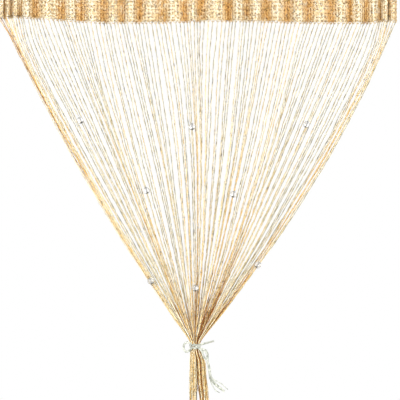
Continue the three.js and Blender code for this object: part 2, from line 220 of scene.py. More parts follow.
def tube_rings(path: np.ndarray, half: tuple[float, float], sides: int, twist: np.ndarray | float = 0.0,
               reference: np.ndarray = Y_AXIS) -> np.ndarray:
    """Rings of an oval tube along a path.

    Args:
        path: Points along its middle.
        half: The half width and half depth of the oval.
        sides: Points in a ring.
        twist: The angle by which the oval is turned at each point.
        reference: The direction that the oval's depth follows where the twist is nothing.

    Returns:
        An array of rings by points by three.
    """
    across, deep = frames_along(path, reference)
    angle = np.arange(sides) * 2 * math.pi / sides
    turn = np.broadcast_to(twist, len(path))[:, None]
    wide = half[0] * np.cos(angle)
    thick = half[1] * np.sin(angle)
    u = wide * np.cos(turn) - thick * np.sin(turn)
    v = wide * np.sin(turn) + thick * np.cos(turn)
    return path[:, None, :] + u[..., None] * across[:, None, :] + v[..., None] * deep[:, None, :]


def smooth_route(points: Sequence[Sequence[float]], count: int) -> np.ndarray:
    """A Catmull-Rom curve through points.

    Args:
        points: The route's own points.
        count: How many points to return, evenly spaced along the curve.

    Returns:
        The curve's points.
    """
    route = np.asarray(points, float)
    padded = np.vstack([2 * route[0] - route[1], route, 2 * route[-1] - route[-2]])
    pieces = []
    steps = np.linspace(0, 1, CURVE_STEPS, endpoint=False)[:, None]
    for a, b, c, d in zip(padded, padded[1:], padded[2:], padded[3:]):
        cubic = (2 * b) + (c - a) * steps + (2 * a - 5 * b + 4 * c - d) * steps**2
        pieces.append(0.5 * (cubic + (3 * b - a - 3 * c + d) * steps**3))
    fine = np.vstack([*pieces, route[-1:]])
    walked = walked_along(fine)
    at = np.linspace(0, walked[-1], count)
    return np.stack([np.interp(at, walked, fine[:, k]) for k in range(3)], axis=1)


def eased_line(at: np.ndarray, values: np.ndarray, wanted: np.ndarray, reach: float) -> np.ndarray:
    """Straight runs between values, with a short curve in place of each bend.

    Args:
        at: Where the values are, rising.
        values: The values.
        wanted: Where to read the line.
        reach: How far a curve reaches to either side of its bend at most. It never takes up more than
            BEND_SHARE of the run beside it.

    Returns:
        The line's values there.
    """
    gap = np.diff(at)
    slope = np.diff(values) / gap
    line = values[0] + slope[0] * (wanted - at[0])
    for k in range(1, len(at) - 1):
        half = min(reach, BEND_SHARE * gap[k - 1], BEND_SHARE * gap[k])
        past = wanted - at[k]
        curve = (np.clip(past, -half, half) + half) ** 2 / (4 * half)
        line = line + (slope[k] - slope[k - 1]) * (curve + np.maximum(past - half, 0))
    return line


def route_length(path: np.ndarray) -> float:
    """The length of a line through points."""
    return float(np.linalg.norm(np.diff(path, axis=0), axis=1).sum())


# The heading's folds


@dataclass(frozen=True)
class Fold:
    """One recess of the gathered heading, in millimetres: its place, and its depth next to the others."""

    x: float
    depth: float


@dataclass(frozen=True)
class EdgePoint:
    """One point of the heading's lower edge."""

    x: float
    z: float


@dataclass
class HeadingFolds:
    """The gathered band's plan, seen from above, in millimetres.

    Attributes:
        flat_width: The band's length before it was gathered.
        height: From the band's top edge to its lower one.
        scallop: How far the lower edge rises and falls with the folds.
        top_depth: The folds' depth at the top edge next to that at the lower edge.
        roundness: How round the folds' fronts are.
        open_fold: The width from which a fold is wide open to the light.
        narrow_power: How gently the painted recess shade fades as folds grow narrow.
        steps: Samples across a fold where the strings' roots are laid out.
        fine_steps: Samples across a fold for the knit.
        look: How far ahead and behind a point its direction is read.
        least_depth: The shallowest fold depth that is tried.
        most_depth: The deepest one.
        halvings: How often the span between the two is halved.
        folds: The recesses between the folds.
    """

    flat_width: float = 1000
    height: float = 45
    scallop: float = 0.7
    top_depth: float = 0.85
    roundness: float = 1.3
    open_fold: float = 27
    narrow_power: float = 0.3
    steps: int = 5
    fine_steps: int = 24
    look: float = 0.6
    least_depth: float = 1
    most_depth: float = 80
    halvings: int = 40
    folds: tuple[Fold, ...] = (
        Fold(-326, 0.7), Fold(-316, 0.85), Fold(-306, 0.8), Fold(-292, 0.8), Fold(-268, 1.15),
        Fold(-222, 1.1), Fold(-192, 0.85), Fold(-153, 1.0), Fold(-124, 0.9), Fold(-96, 0.9),
        Fold(-58, 1.0), Fold(-20, 0.8), Fold(3, 1.0), Fold(52, 1.1), Fold(80, 0.95), Fold(112, 1.0),
        Fold(148, 0.95), Fold(181, 0.95), Fold(219, 0.9), Fold(250, 0.85), Fold(276, 0.9),
        Fold(301, 1.0), Fold(314, 0.9), Fold(327, 0.6),
    )
    edge: tuple[EdgePoint, ...] = (
        EdgePoint(-327, -38), EdgePoint(-300, -35.5), EdgePoint(-250, -38.5), EdgePoint(-190, -43),
        EdgePoint(-160, -45), EdgePoint(-60, -45), EdgePoint(20, -42), EdgePoint(100, -43),
        EdgePoint(180, -45.5), EdgePoint(285, -45.5), EdgePoint(308, -41.5), EdgePoint(328, -44),
    )

    def __post_init__(self) -> None:
        """Solves the fold depth at which the gathered band is as long as the flat one."""
        self.recess_x = np.array([fold.x for fold in self.folds], float)
        self.recess_depth = np.array([fold.depth for fold in self.folds])
        self.coarse_x = self._samples(self.steps)
        low, high = self.least_depth, self.most_depth
        for _ in range(self.halvings):
            middle = (low + high) / 2
            if self.plan_length(middle) < self.flat_width:
                low = middle
            else:
                high = middle
        self.depth = low
        fine = self._samples(self.fine_steps)
        self.fine = np.stack([fine, self.depth * self.swing(fine)], axis=1)
        self.walked = walked_along(self.fine)

    def _samples(self, steps: int) -> np.ndarray:
        """Even steps across each fold."""
        spans = [np.linspace(a, b, steps, endpoint=False) for a, b in zip(self.recess_x, self.recess_x[1:])]
        return np.concatenate([*spans, self.recess_x[-1:]])

    def _fold_at(self, x: np.ndarray) -> tuple[np.ndarray, np.ndarray, np.ndarray]:
        """The fold that each place is in: the number of its right recess, and where its two recesses are."""
        right = np.clip(np.searchsorted(self.recess_x, x, side="left"), 1, len(self.recess_x) - 1)
        return right, self.recess_x[right - 1], self.recess_x[right]

    def swing(self, x: np.ndarray) -> np.ndarray:
        """How far behind the middle plane the band lies.

        Args:
            x: Places from left to right.

        Returns:
            One number for each place, where a whole fold swings by one.
        """
        right, left_x, right_x = self._fold_at(x)
        share = np.clip((x - left_x) / (right_x - left_x), 0, 1)
        depth = self.recess_depth[right - 1] * (1 - share) + self.recess_depth[right] * share
        return (0.5 - np.sin(math.pi * share) ** self.roundness) * depth

    def openness(self, x: np.ndarray) -> np.ndarray:
        """How wide the fold at each place is, up to 1: narrow folds shade themselves and need less tint."""
        _, left_x, right_x = self._fold_at(x)
        return np.clip((right_x - left_x) / self.open_fold, 0, 1) ** self.narrow_power

    def plan_length(self, depth: float) -> float:
        """The band's length along its folds at a fold depth."""
        y = depth * self.swing(self.coarse_x)
        return float(np.hypot(np.diff(self.coarse_x), np.diff(y)).sum())

    def edge_z(self, x: np.ndarray) -> np.ndarray:
        """The height of the band's lower edge."""
        table = np.interp(x, [point.x for point in self.edge], [point.z for point in self.edge])
        return table + self.scallop * 2 * self.swing(x)

    def place(self, walked: np.ndarray, z: np.ndarray) -> tuple[np.ndarray, np.ndarray, np.ndarray]:
        """Points on the band's middle surface.

        Args:
            walked: Distances along the folds.
            z: Heights.

        Returns:
            The points, the directions that point to the viewer's side, and the swing at each point.
        """
        x = np.interp(walked, self.walked, self.fine[:, 0])
        swing = self.swing(x)
        level = np.clip(-z / self.height, 0, 1)
        y = self.depth * swing * (self.top_depth + (1 - self.top_depth) * level)
        ahead = np.interp(walked + self.look, self.walked, self.fine[:, 0])
        behind = np.interp(walked - self.look, self.walked, self.fine[:, 0])
        run = unit(np.stack([ahead - behind, self.depth * (self.swing(ahead) - self.swing(behind))], axis=-1))
        front = np.stack([run[..., 1], -run[..., 0], np.zeros_like(x)], axis=-1)
        return np.stack([x, y, z], axis=-1), front, swing


# The strings' ways


@dataclass(frozen=True)
class Bunch:
    """A bunch that strings run in.

    Attributes:
        x: Where it starts at the heading.
        drift: How far it wanders on its way down.
        width: Its half width.
        pull: How strongly it draws its strings in.
        drawn: The share of the way down by which it has fully drawn them in.
    """

    x: float
    drift: float
    width: float
    pull: float
    drawn: float = 0.625


@dataclass(frozen=True)
class TailRow:
    """One height of the tail: where its two locks hang and how far they have opened."""

    z: float
    left: float
    right: float
    spread: float


@dataclass(frozen=True)
class BeadedString:
    """A string that carries beads: its place in the heading, and how far down it each bead is."""

    x: float
    drops: tuple[float, ...]


@dataclass
class StringRuns:
    """The strings' ways from the heading through the tie to their tips, in millimetres.

    Attributes:
        length: Each string's length, root to tip.
        radius: A string's radius in the solids.
        pitch: From string to string in the tie.
        layers: How far the strings scatter to the front and back halfway down.
        grip: Half the height over which the tie holds the strings together.
        root_gap: From the band's edge down to the root strip.
        root_cover: How deep in the root strip a string starts.
        sag_left: How far the left edge bows out.
        sag_right: How far the right edge bows out.
        golden_step: The step of the scatter in depth.
        stray: How far the strings stray sideways.
        stray_step: The step of that scatter.
        column_shift: How far every second column of the tie is moved, in pitches.
        front_choice: How much a bead's string is rather taken from a fold's front.
        beaded_layer: The depth, in layers, of the strings with beads.
        sort_share: The share of the way down where a column's depth order is read.
        rounds: The most rounds of pushing strings apart.
        tolerance: The overlap at which the pushing stops.
        sway_reach: How far a tail string sways for each unit that its lock has opened.
        sway_rate: How fast that sway turns across the lock.
        bead_straight: How far a string runs straight above and below a bead's middle.
        bead_shoulder: How far above and below it the string leaves its own way.
        bead_clearance: From a bead to the strings behind it.
        bead_lean: The share of a sideways distance that counts, since the strings lean.
        bead_repeat: From bead to bead along a string.
        end_margin: The least from the last bead to the tip.
        upper: How far down to the tie each level is, as a share, and how far apart its strings are kept.
    """

    folds: HeadingFolds
    count: int = 114
    length: float = 1955
    radius: float = 0.62
    pitch: float = 1.42
    layers: float = 5
    tie_x: float = -4
    tie_z: float = -576
    grip: float = 6.5
    root_gap: float = 0.5
    root_cover: float = 1.2
    sag_left: float = 16
    sag_right: float = 26
    golden_step: float = 0.618034
    stray: float = 2.5
    stray_step: float = 0.6457513
    column_shift: float = 0.25
    front_choice: float = 0.3
    beaded_layer: float = -1.5
    sort_share: float = 0.75
    rounds: int = 80
    tolerance: float = 0.01
    sway_reach: float = 2
    sway_rate: float = 0.35
    bead_radius: float = 5.6
    bead_straight: float = 8
    bead_shoulder: float = 45
    bead_clearance: float = 0.5
    bead_lean: float = 0.85
    bead_repeat: float = 530
    end_margin: float = 60
    upper: tuple[tuple[float, float], ...] = (
        (0, 0), (0.07, 2.8), (0.18, 3.4), (0.42, 3.2), (0.68, 2.6), (0.9, 2.0),
    )
    bunches: tuple[Bunch, ...] = (
        Bunch(-317, -5, 40, 0.9, 0.14), Bunch(-255, 30, 35, 0.8), Bunch(-200, 25, 35, 0.9),
        Bunch(-105, 45, 20, 0.85), Bunch(-25, 0, 50, 0.85), Bunch(20, 40, 50, 0.85),
        Bunch(100, 5, 50, 0.9), Bunch(170, 25, 45, 0.9), Bunch(230, -45, 40, 0.4),
        Bunch(323, 10, 25, 0.9, 0.14),
    )
    tail: tuple[TailRow, ...] = (
        TailRow(-600, -6.1, 5.3, 1.5), TailRow(-640, -5.9, 7.4, 1.62), TailRow(-668, -6.4, 11.4, 1.5),
        TailRow(-1200, -11.5, 12.5, 1.95), TailRow(-2000, -12.5, 12.5, 2.6),
    )
    beaded: tuple[BeadedString, ...] = (
        BeadedString(-314, (492,)), BeadedString(-263, (183,)), BeadedString(-149, (283,)),
        BeadedString(-23, (173, 437)), BeadedString(110, (288,)), BeadedString(245, (179,)),
        BeadedString(319, (457,)),
    )

    def __post_init__(self) -> None:
        """Works out every string's bends and sets the beads on them."""
        self.roots = self._roots()
        self.beaded_index = [self._nearest(row.x) for row in self.beaded]
        self.places = self._assign(self._slots())
        self.lock_middle = {
            side: float(np.mean([x for x, _ in self.places if (x < 0) == (side == "left")]))
            for side in ("left", "right")
        }
        self.ways = self._ways()
        self.beads = self._set_beads()

    def _roots(self) -> np.ndarray:
        """Lays out where the strings leave the band, at even steps along the flat edge.

        Returns:
            Each string's root.
        """
        folds = self.folds
        y = folds.depth * folds.swing(folds.coarse_x)
        walked = walked_along(np.stack([folds.coarse_x, y], axis=1))
        at = (np.arange(self.count) + 0.5) * walked[-1] / self.count
        x = np.interp(at, walked, folds.coarse_x)
        z = folds.edge_z(x) - self.root_gap - self.root_cover
        return np.stack([x, np.interp(at, walked, y), z], axis=1)

    def _nearest(self, x: float) -> int:
        """The string that leaves the band nearest to x, with a liking for the fronts of the folds."""
        return int(np.argmin(np.abs(self.roots[:, 0] - x) + self.front_choice * self.roots[:, 1]))

    def _slots(self) -> list[tuple[int, float, float]]:
        """Lays out close-packed places in the tie.

        Returns:
            Column, x and y of each place, column by column from the left.
        """
        reach = math.ceil(math.sqrt(self.count))
        slots = []
        for column in range(-reach, reach + 1):
            offset = self.column_shift if column % 2 == 0 else -self.column_shift
            for row in range(-reach, reach + 1):
                x, y = column * self.pitch * math.sin(math.pi / 3), (row + offset) * self.pitch
                slots.append((round(1000 * math.hypot(x, y)), column, row, x, y))
        nearest = sorted(slots)[: self.count]
        return sorted((column, x, y) for _, column, _, x, y in nearest)

    def _assign(self, slots: list[tuple[int, float, float]]) -> list[tuple[float, float]]:
        """Gives each string a place: the columns keep the heading's order, and each column its depth order.

        Args:
            slots: Column, x and y of the places.

        Returns:
            For each string the x and y of its place.
        """
        taken: list[tuple[float, float]] = [(0.0, 0.0)] * self.count
        first = 0
        for column in sorted({slot[0] for slot in slots}):
            free = sorted((y, x) for c, x, y in slots if c == column)
            strings = list(range(first, first + len(free)))
            strings.sort(key=lambda k: -math.inf if k in self.beaded_index
                         else self._upper_point(k, (0.0, 0.0), self.sort_share)[1])
            for string, (y, x) in zip(strings, free):
                taken[string] = (x, y)
            first += len(free)
        return taken

    def _bunched(self, x: float, share: float) -> float:
        """Pulls a string towards its bunches.

        Args:
            x: Where the string leaves the band.
            share: The share of the way down to the tie.

        Returns:
            The place at the heading that the bunches move it to.
        """
        moved = x
        for bunch in self.bunches:
            grip = math.sin(math.pi / 2 * min(1, share / bunch.drawn))
            near = math.exp(-(((x - bunch.x) / bunch.width) ** 2))
            moved += bunch.pull * grip * near * (bunch.x + bunch.drift * share - x)
        return moved

    def _upper_point(self, index: int, slot: tuple[float, float], share: float) -> list[float]:
        """A string's point on its way down to the tie.

        Args:
            index: The string's number.
            slot: The x and y of its place in the tie.
            share: The share of the way down.

        Returns:
            The point.
        """
        x, y, z = self.roots[index]
        away = math.sin(math.pi * share)
        depth = self.beaded_layer if index in self.beaded_index else self._scatter(index, self.golden_step)
        layer = self.layers * depth * away
        stray = self.stray * self._scatter(index, self.stray_step) * away
        ends = self.folds.recess_x
        edge, reach = (ends[0], -self.sag_left) if x < 0 else (ends[-1], self.sag_right)
        sag = reach * (x / edge) * 4 * share * (1 - share)
        target = (self.tie_x + slot[0], slot[1], self.tie_z + self.grip)
        start = (self._bunched(x, share), y, z)
        across, deep, high = (a + (b - a) * share for a, b in zip(start, target))
        return [across + sag + stray, deep + layer, high]

    @staticmethod
    def _scatter(index: int, step: float) -> float:
        """An even scatter in -1 to 1 that never repeats."""
        return 2 * ((index * step) % 1) - 1

    def _tail_point(self, index: int, row: TailRow) -> list[float]:
        """A string's point in the tail.

        Args:
            index: The string's number.
            row: The level of the tail.

        Returns:
            The point.
        """
        x, y = self.places[index]
        side = "left" if x < 0 else "right"
        sway = (row.spread - 1) * self.sway_reach
        aside = (x - self.lock_middle[side]) * row.spread
        return [
            getattr(row, side) + aside + sway * math.sin(self.sway_rate * y),
            y * row.spread + sway * math.cos(self.sway_rate * x),
            row.z,
        ]

    def _keep_apart(self, level: list[list[float]], spacing: float) -> None:
        """Pushes the strings of one level apart until no two are nearer than the spacing.

        Args:
            level: The strings' points, which are moved.
            spacing: The least distance between two of them.
        """
        for _ in range(self.rounds):
            worst = 0.0
            for i, a in enumerate(level):
                for b in level[i + 1:]:
                    dx, dy = b[0] - a[0], b[1] - a[1]
                    if abs(dx) >= spacing or abs(dy) >= spacing:
                        continue
                    distance = max(math.hypot(dx, dy), 1e-3)
                    if distance >= spacing:
                        continue
                    push = (spacing - distance) / 2 / distance
                    a[0] -= dx * push
                    a[1] -= dy * push
                    b[0] += dx * push
                    b[1] += dy * push
                    worst = max(worst, spacing - distance)
            if worst < self.tolerance:
                return

    def _ways(self) -> list[np.ndarray]:
        """Lays every string's way.

        Returns:
            Each string's bends from root to tip.
        """
        levels = []
        for share, spacing in self.upper:
            level = [self._upper_point(k, self.places[k], share) for k in range(self.count)]
            self._keep_apart(level, spacing)
            levels.append(level)
        for z in (self.tie_z + self.grip, self.tie_z - self.grip):
            levels.append([[self.tie_x + x, y, z] for x, y in self.places])
        for row in self.tail:
            levels.append([self._tail_point(k, row) for k in range(self.count)])
        return [self._trim(way) for way in np.array(levels).transpose(1, 0, 2)]

    def _trim(self, way: np.ndarray) -> np.ndarray:
        """Moves a string's tip so that the whole string has its length.

        Args:
            way: The string's bends.

        Returns:
            The bends with the new tip.
        """
        rest = self.length - route_length(way[:-1])
        step = way[-1] - way[-2]
        return np.vstack([way[:-1], way[-2] + step * rest / np.linalg.norm(step)])

    @staticmethod
    def at_height(way: np.ndarray, z: float) -> np.ndarray:
        """The point of a string at a height."""
        return np.array([np.interp(-z, -way[:, 2], way[:, k]) for k in range(3)])

    @staticmethod
    def at_drop(way: np.ndarray, drop: float) -> np.ndarray:
        """The point of a string at a distance from its root."""
        walked = walked_along(way)
        return np.array([np.interp(drop, walked, way[:, k]) for k in range(3)])

    def _front(self, own: int, centre: np.ndarray) -> float:
        """How far forward a bead lies to clear every string behind it.

        Args:
            own: The number of the bead's own string.
            centre: The bead's middle on its string's first way.

        Returns:
            The bead's depth.
        """
        reach = self.bead_radius + self.radius + self.bead_clearance
        front = centre[1]
        for index, way in enumerate(self.ways):
            if index == own:
                continue
            other = self.at_height(way, centre[2])
            aside = abs(other[0] - centre[0]) * self.bead_lean
            if aside < reach:
                front = min(front, other[1] - math.sqrt(reach**2 - aside**2))
        return front

    def _set_beads(self) -> list[tuple[np.ndarray, np.ndarray]]:
        """Threads the beads and brings their strings forward.

        Returns:
            Each bead's middle and the direction of its hole.
        """
        beads = []
        margin = self.grip + self.bead_straight + self.bead_radius
        for row, string in zip(self.beaded, self.beaded_index):
            last = self.length - self.end_margin
            drops = [*row.drops, *np.arange(row.drops[-1] + self.bead_repeat, last, self.bead_repeat)]
            spots = [self.at_drop(self.ways[string], drop) for drop in drops]
            for spot in spots:
                if abs(spot[2] - self.tie_z) <= margin:
                    continue
                way = self.ways[string]
                front = self._front(string, spot)
                upper = self.at_height(way, spot[2] + self.bead_straight)
                lower = self.at_height(way, spot[2] - self.bead_straight)
                upper[1] = lower[1] = front
                top = self.at_height(way, spot[2] + self.bead_shoulder)
                foot = self.at_height(way, spot[2] - self.bead_shoulder)
                above, below = way[way[:, 2] > top[2]], way[way[:, 2] < foot[2]]
                self.ways[string] = np.vstack([above, top, upper, lower, foot, below])
                beads.append(((upper + lower) / 2, unit(upper - lower)))
        return beads


# Node tools


class Shader:
    """A material's or a group's node tree with short ways to fill it."""

    def __init__(self, tree: bpy.types.NodeTree) -> None:
        """Keeps the tree."""
        self.tree = tree

    def node(self, kind: str, **settings: object) -> bpy.types.Node:
        """Adds a node.

        Args:
            kind: The node's type name, without the ShaderNode prefix.
            **settings: Its own properties.

        Returns:
            The node.
        """
        made = self.tree.nodes.new("ShaderNode" + kind)
        for name, value in settings.items():
            setattr(made, name, value)
        return made

    def put(self, socket: bpy.types.NodeSocket, value: object) -> None:
        """Links an output to a socket, or sets the socket's own value.

        Args:
            socket: An input.
            value: An output, a plain value, or None to leave the input as it is.
        """
        if isinstance(value, bpy.types.NodeSocket):
            self.tree.links.new(value, socket)
        elif value is not None:
            socket.default_value = value

    def place(self) -> bpy.types.NodeSocket:
        """Where on the object a point is."""
        return self.node("TexCoord").outputs["Object"]

    def mark(self, name: str) -> bpy.types.NodeSocket:
        """The number of that name that the mesh's points carry."""
        return self.node("Attribute", attribute_name=name).outputs["Fac"]

    def relief(self, bsdf: bpy.types.Node, height: bpy.types.NodeSocket, strength: float,
               depth: float) -> None:
        """Gives a BSDF its fine relief.

        Args:
            bsdf: The BSDF.
            height: The relief's height in 0 to 1.
            strength: How strongly it shows.
            depth: Its depth in metres.
        """
        bump = self.node("Bump")
        bump.inputs["Strength"].default_value = strength
        bump.inputs["Distance"].default_value = depth
        self.put(bump.inputs["Height"], height)
        self.put(bsdf.inputs["Normal"], bump.outputs["Normal"])

    def noise(self, vector: object, scale: object, detail: float = 2.0,
              rough: float = 0.5) -> bpy.types.NodeSocket:
        """Adds a noise.

        Args:
            vector: Where it is read.
            scale: How many waves it has in a metre.
            detail: How many finer layers it has.
            rough: How strong those are.

        Returns:
            The noise, in 0 to 1.
        """
        made = self.node("TexNoise")
        self.put(made.inputs["Vector"], vector)
        self.put(made.inputs["Scale"], scale)
        self.put(made.inputs["Detail"], detail)
        self.put(made.inputs["Roughness"], rough)
        return made.outputs["Fac"]

    def math(self, operation: str, a: object, b: object = None) -> bpy.types.NodeSocket:
        """Adds one arithmetic step.

        Args:
            operation: The node's own name for it.
            a: The first number.
            b: The second number, where there is one.

        Returns:
            The result.
        """
        made = self.node("Math", operation=operation)
        self.put(made.inputs[0], a)
        self.put(made.inputs[1], b)
        return made.outputs[0]

    def ramp(self, value: object, low: object, high: object) -> bpy.types.NodeSocket:
        """Adds a smooth step.

        Args:
            value: The number that is read.
            low: Where the step is still 0.
            high: Where it is 1.

        Returns:
            The step.
        """
        made = self.node("MapRange", interpolation_type="SMOOTHSTEP")
        self.put(made.inputs["Value"], value)
        self.put(made.inputs["From Min"], low)
        self.put(made.inputs["From Max"], high)
        return made.outputs["Result"]

    def mix(self, share: object, a: object, b: object, blend: str = "MIX") -> bpy.types.NodeSocket:
        """Adds a mix of two colours.

        Args:
            share: How much of the second one there is.
            a: The first colour.
            b: The second colour.
            blend: How the second one is laid on.

        Returns:
            The mixed colour.
        """
        made = self.node("Mix", data_type="RGBA", blend_type=blend)
        self.put(made.inputs["Factor"], share)
        self.put(made.inputs[6], a)
        self.put(made.inputs[7], b)
        return made.outputs[2]

    def group(self, tree: bpy.types.NodeTree, **values: object) -> bpy.types.Node:
        """Places a node group.

        Args:
            tree: The group.
            **values: Its inputs, with underscores for the spaces in their names.

        Returns:
            The group's node.
        """
        made = self.tree.nodes.new("ShaderNodeGroup")
        made.node_tree = tree
        for name, value in values.items():
            self.put(made.inputs[name.replace("_", " ")], value)
        return made


Colour = tuple[float, float, float, float]


def colour(red: float, green: float, blue: float) -> Colour:
    """A linear colour with full alpha."""
    return (red, green, blue, 1.0)


@dataclass(frozen=True)
class TinselGlints:
    """The glints of metallic yarn, painted into its colour: white sparks are painted highlights, dark specks
    and flecks are painted reflections of dark surroundings, and gold and pale specks are the yarn's own
    tones; and the yarn's fine relief.

    Attributes:
        speck_rough: How rough the specks' noise is.
        fine_scale: The sparks' scale, in speck scales.
        broad_scale: The scale of the broad changes from pale to gold, in speck scales.
        flake_scale: The dark flecks' scale, in speck scales.
        dark_blur: How softly the dark specks end.
        fleck_blur: How softly the flecks end.
        spark_blur: How softly the sparks end.
        warm: Where the broad noise goes from pale to gold.
        body: Where the specks' noise goes over to those broad changes.
        fleck: How much of the dark colour a fleck keeps.
        shares: The group's own values where a finish gives none.
    """

    speck_rough: float = 0.6
    fine_scale: float = 2.7
    broad_scale: float = 0.09
    flake_scale: float = 0.8
    dark_blur: float = 0.1
    fleck_blur: float = 0.04
    spark_blur: float = 0.06
    warm: tuple[float, float] = (0.38, 0.62)
    body: tuple[float, float] = (0.46, 0.54)
    fleck: Colour = colour(0.45, 0.45, 0.45)
    shares: tuple[tuple[str, float], ...] = (
        ("Speck Scale", 420), ("Dark Share", 0.4), ("White Share", 0.6), ("Fleck Share", 0.7),
    )

    def sockets(self, tree: bpy.types.NodeTree) -> None:
        """Gives the group its inputs and outputs.

        Args:
            tree: The group.
        """
        for name in ("Dark", "Gold", "Pale", "White"):
            tree.interface.new_socket(name, in_out="INPUT", socket_type="NodeSocketColor")
        for name, value in self.shares:
            made = tree.interface.new_socket(name, in_out="INPUT", socket_type="NodeSocketFloat")
            made.default_value = value
        tree.interface.new_socket("Color", in_out="OUTPUT", socket_type="NodeSocketColor")
        tree.interface.new_socket("Spark", in_out="OUTPUT", socket_type="NodeSocketFloat")
        tree.interface.new_socket("Height", in_out="OUTPUT", socket_type="NodeSocketFloat")

    def build(self) -> bpy.types.NodeTree:
        """Makes the group.

        Returns:
            A group that puts out Color, Spark and Height.
        """
        tree = bpy.data.node_groups.new("tinsel_glints", "ShaderNodeTree")
        self.sockets(tree)
        shader = Shader(tree)
        own = tree.nodes.new("NodeGroupInput").outputs
        out = tree.nodes.new("NodeGroupOutput").inputs
        place = shader.place()

        def speckle(scale: float, detail: float) -> bpy.types.NodeSocket:
            """A noise at a scale that is given in speck scales."""
            return shader.noise(place, shader.math("MULTIPLY", own["Speck Scale"], scale), detail)

        def over(noise: bpy.types.NodeSocket, share: str, blur: float) -> bpy.types.NodeSocket:
            """Where a noise is over one of the group's shares, with a soft edge."""
            return shader.ramp(noise, own[share], shader.math("ADD", own[share], blur))

        speck = shader.noise(place, own["Speck Scale"], rough=self.speck_rough)
        fine = speckle(self.fine_scale, 1)
        warm = shader.ramp(speckle(self.broad_scale, 1), *self.warm)
        # Dark specks and flecks are painted reflections of dark surroundings; the white sparks below are
        # painted highlights.
        tone = shader.mix(over(speck, "Dark Share", self.dark_blur), own["Dark"], own["Gold"])
        tone = shader.mix(shader.ramp(speck, *self.body), tone, shader.mix(warm, own["Pale"], own["Gold"]))
        fleck = over(speckle(self.flake_scale, 0), "Fleck Share", self.fleck_blur)
        tone = shader.mix(fleck, tone, shader.mix(1.0, own["Dark"], self.fleck, "MULTIPLY"))
        spark = over(fine, "White Share", self.spark_blur)
        shader.put(out["Color"], shader.mix(spark, tone, own["White"]))
        shader.put(out["Spark"], spark)
        shader.put(out["Height"], fine)
        return tree


def new_material(name: str) -> tuple[bpy.types.Material, Shader, bpy.types.Node]:
    """A material with one Principled BSDF.

    Args:
        name: The material's name.

    Returns:
        The material, its shader tools and the BSDF.
    """
    material = bpy.data.materials.new(name)
    material.use_nodes = True
    shader = Shader(material.node_tree)
    return material, shader, material.node_tree.nodes["Principled BSDF"]


@dataclass(frozen=True)
class TinselFinish:
    """Gold metallic yarn, for the strings or the knitted heading.

    Attributes:
        dark: The colour of the dark specks, painted reflections of dark surroundings.
        gold: The yarn's own colour.
        pale: Its paler places.
        white: The sparks, painted highlights.
        tints: The mesh's marks, each with the colour that multiplies the yarn's where the mark is 1; they
            paint the shade in the knit's recesses and among crowded strings.
        speck_scale: How many specks there are in a metre.
        dark_share: The share of dark specks.
        white_share: How rare the sparks are.
        fleck_share: How rare the dark flecks are.
        cream: The colour where the mark cream is 1: partly the strings' own paler tone, partly painted light.
        metallic: How metallic the yarn is.
        roughness: Its roughness between the sparks.
        spark_polish: A spark's roughness next to that.
        relief: How strongly the fine relief shows.
        relief_depth: Its depth in metres.
        patch_scale: The scale of the patches in which the tints show, or None where they show everywhere.
        patch: Where the patches' noise goes from no tint to the full one.
    """

    name: str
    dark: Colour
    gold: Colour
    pale: Colour
    white: Colour
    tints: tuple[tuple[str, Colour], ...]
    speck_scale: float = 420.0
    dark_share: float = 0.42
    white_share: float = 0.6
    fleck_share: float = 0.7
    cream: Optional[Colour] = None
    metallic: float = 0.35
    roughness: float = 0.38
    spark_polish: float = 0.5
    relief: float = 0.35
    relief_depth: float = 0.0004
    patch_scale: Optional[float] = None
    patch: tuple[float, float] = (0.26, 0.56)

    def build(self, glints: bpy.types.NodeTree) -> bpy.types.Material:
        """Makes the material.

        Args:
            glints: The tinsel group.

        Returns:
            The material.
        """
        material, shader, bsdf = new_material(self.name)
        specks = shader.group(glints, Dark=self.dark, Gold=self.gold, Pale=self.pale, White=self.white,
                              Speck_Scale=self.speck_scale, Dark_Share=self.dark_share,
                              White_Share=self.white_share, Fleck_Share=self.fleck_share)
        tint = specks.outputs["Color"]
        # The cream mark paints light onto the strings it covers, partly as their own paler tone.
        if self.cream:
            tint = shader.mix(shader.mark("cream"), tint, self.cream)
        patch = 1.0
        if self.patch_scale:
            patch = shader.ramp(shader.noise(shader.place(), self.patch_scale, 1), *self.patch)
        # Each tint multiplies in painted shade where its mark is set.
        for mark, towards in self.tints:
            share = shader.math("MULTIPLY", shader.mark(mark), patch)
            tint = shader.mix(share, tint, shader.mix(1.0, tint, towards, "MULTIPLY"))
        shader.put(bsdf.inputs["Base Color"], tint)
        bsdf.inputs["Metallic"].default_value = self.metallic
        rough = shader.node("MapRange")
        shader.put(rough.inputs["Value"], specks.outputs["Spark"])
        rough.inputs["To Min"].default_value = self.roughness
        rough.inputs["To Max"].default_value = self.roughness * self.spark_polish
        shader.put(bsdf.inputs["Roughness"], rough.outputs["Result"])
        shader.relief(bsdf, specks.outputs["Height"], self.relief, self.relief_depth)
        return material


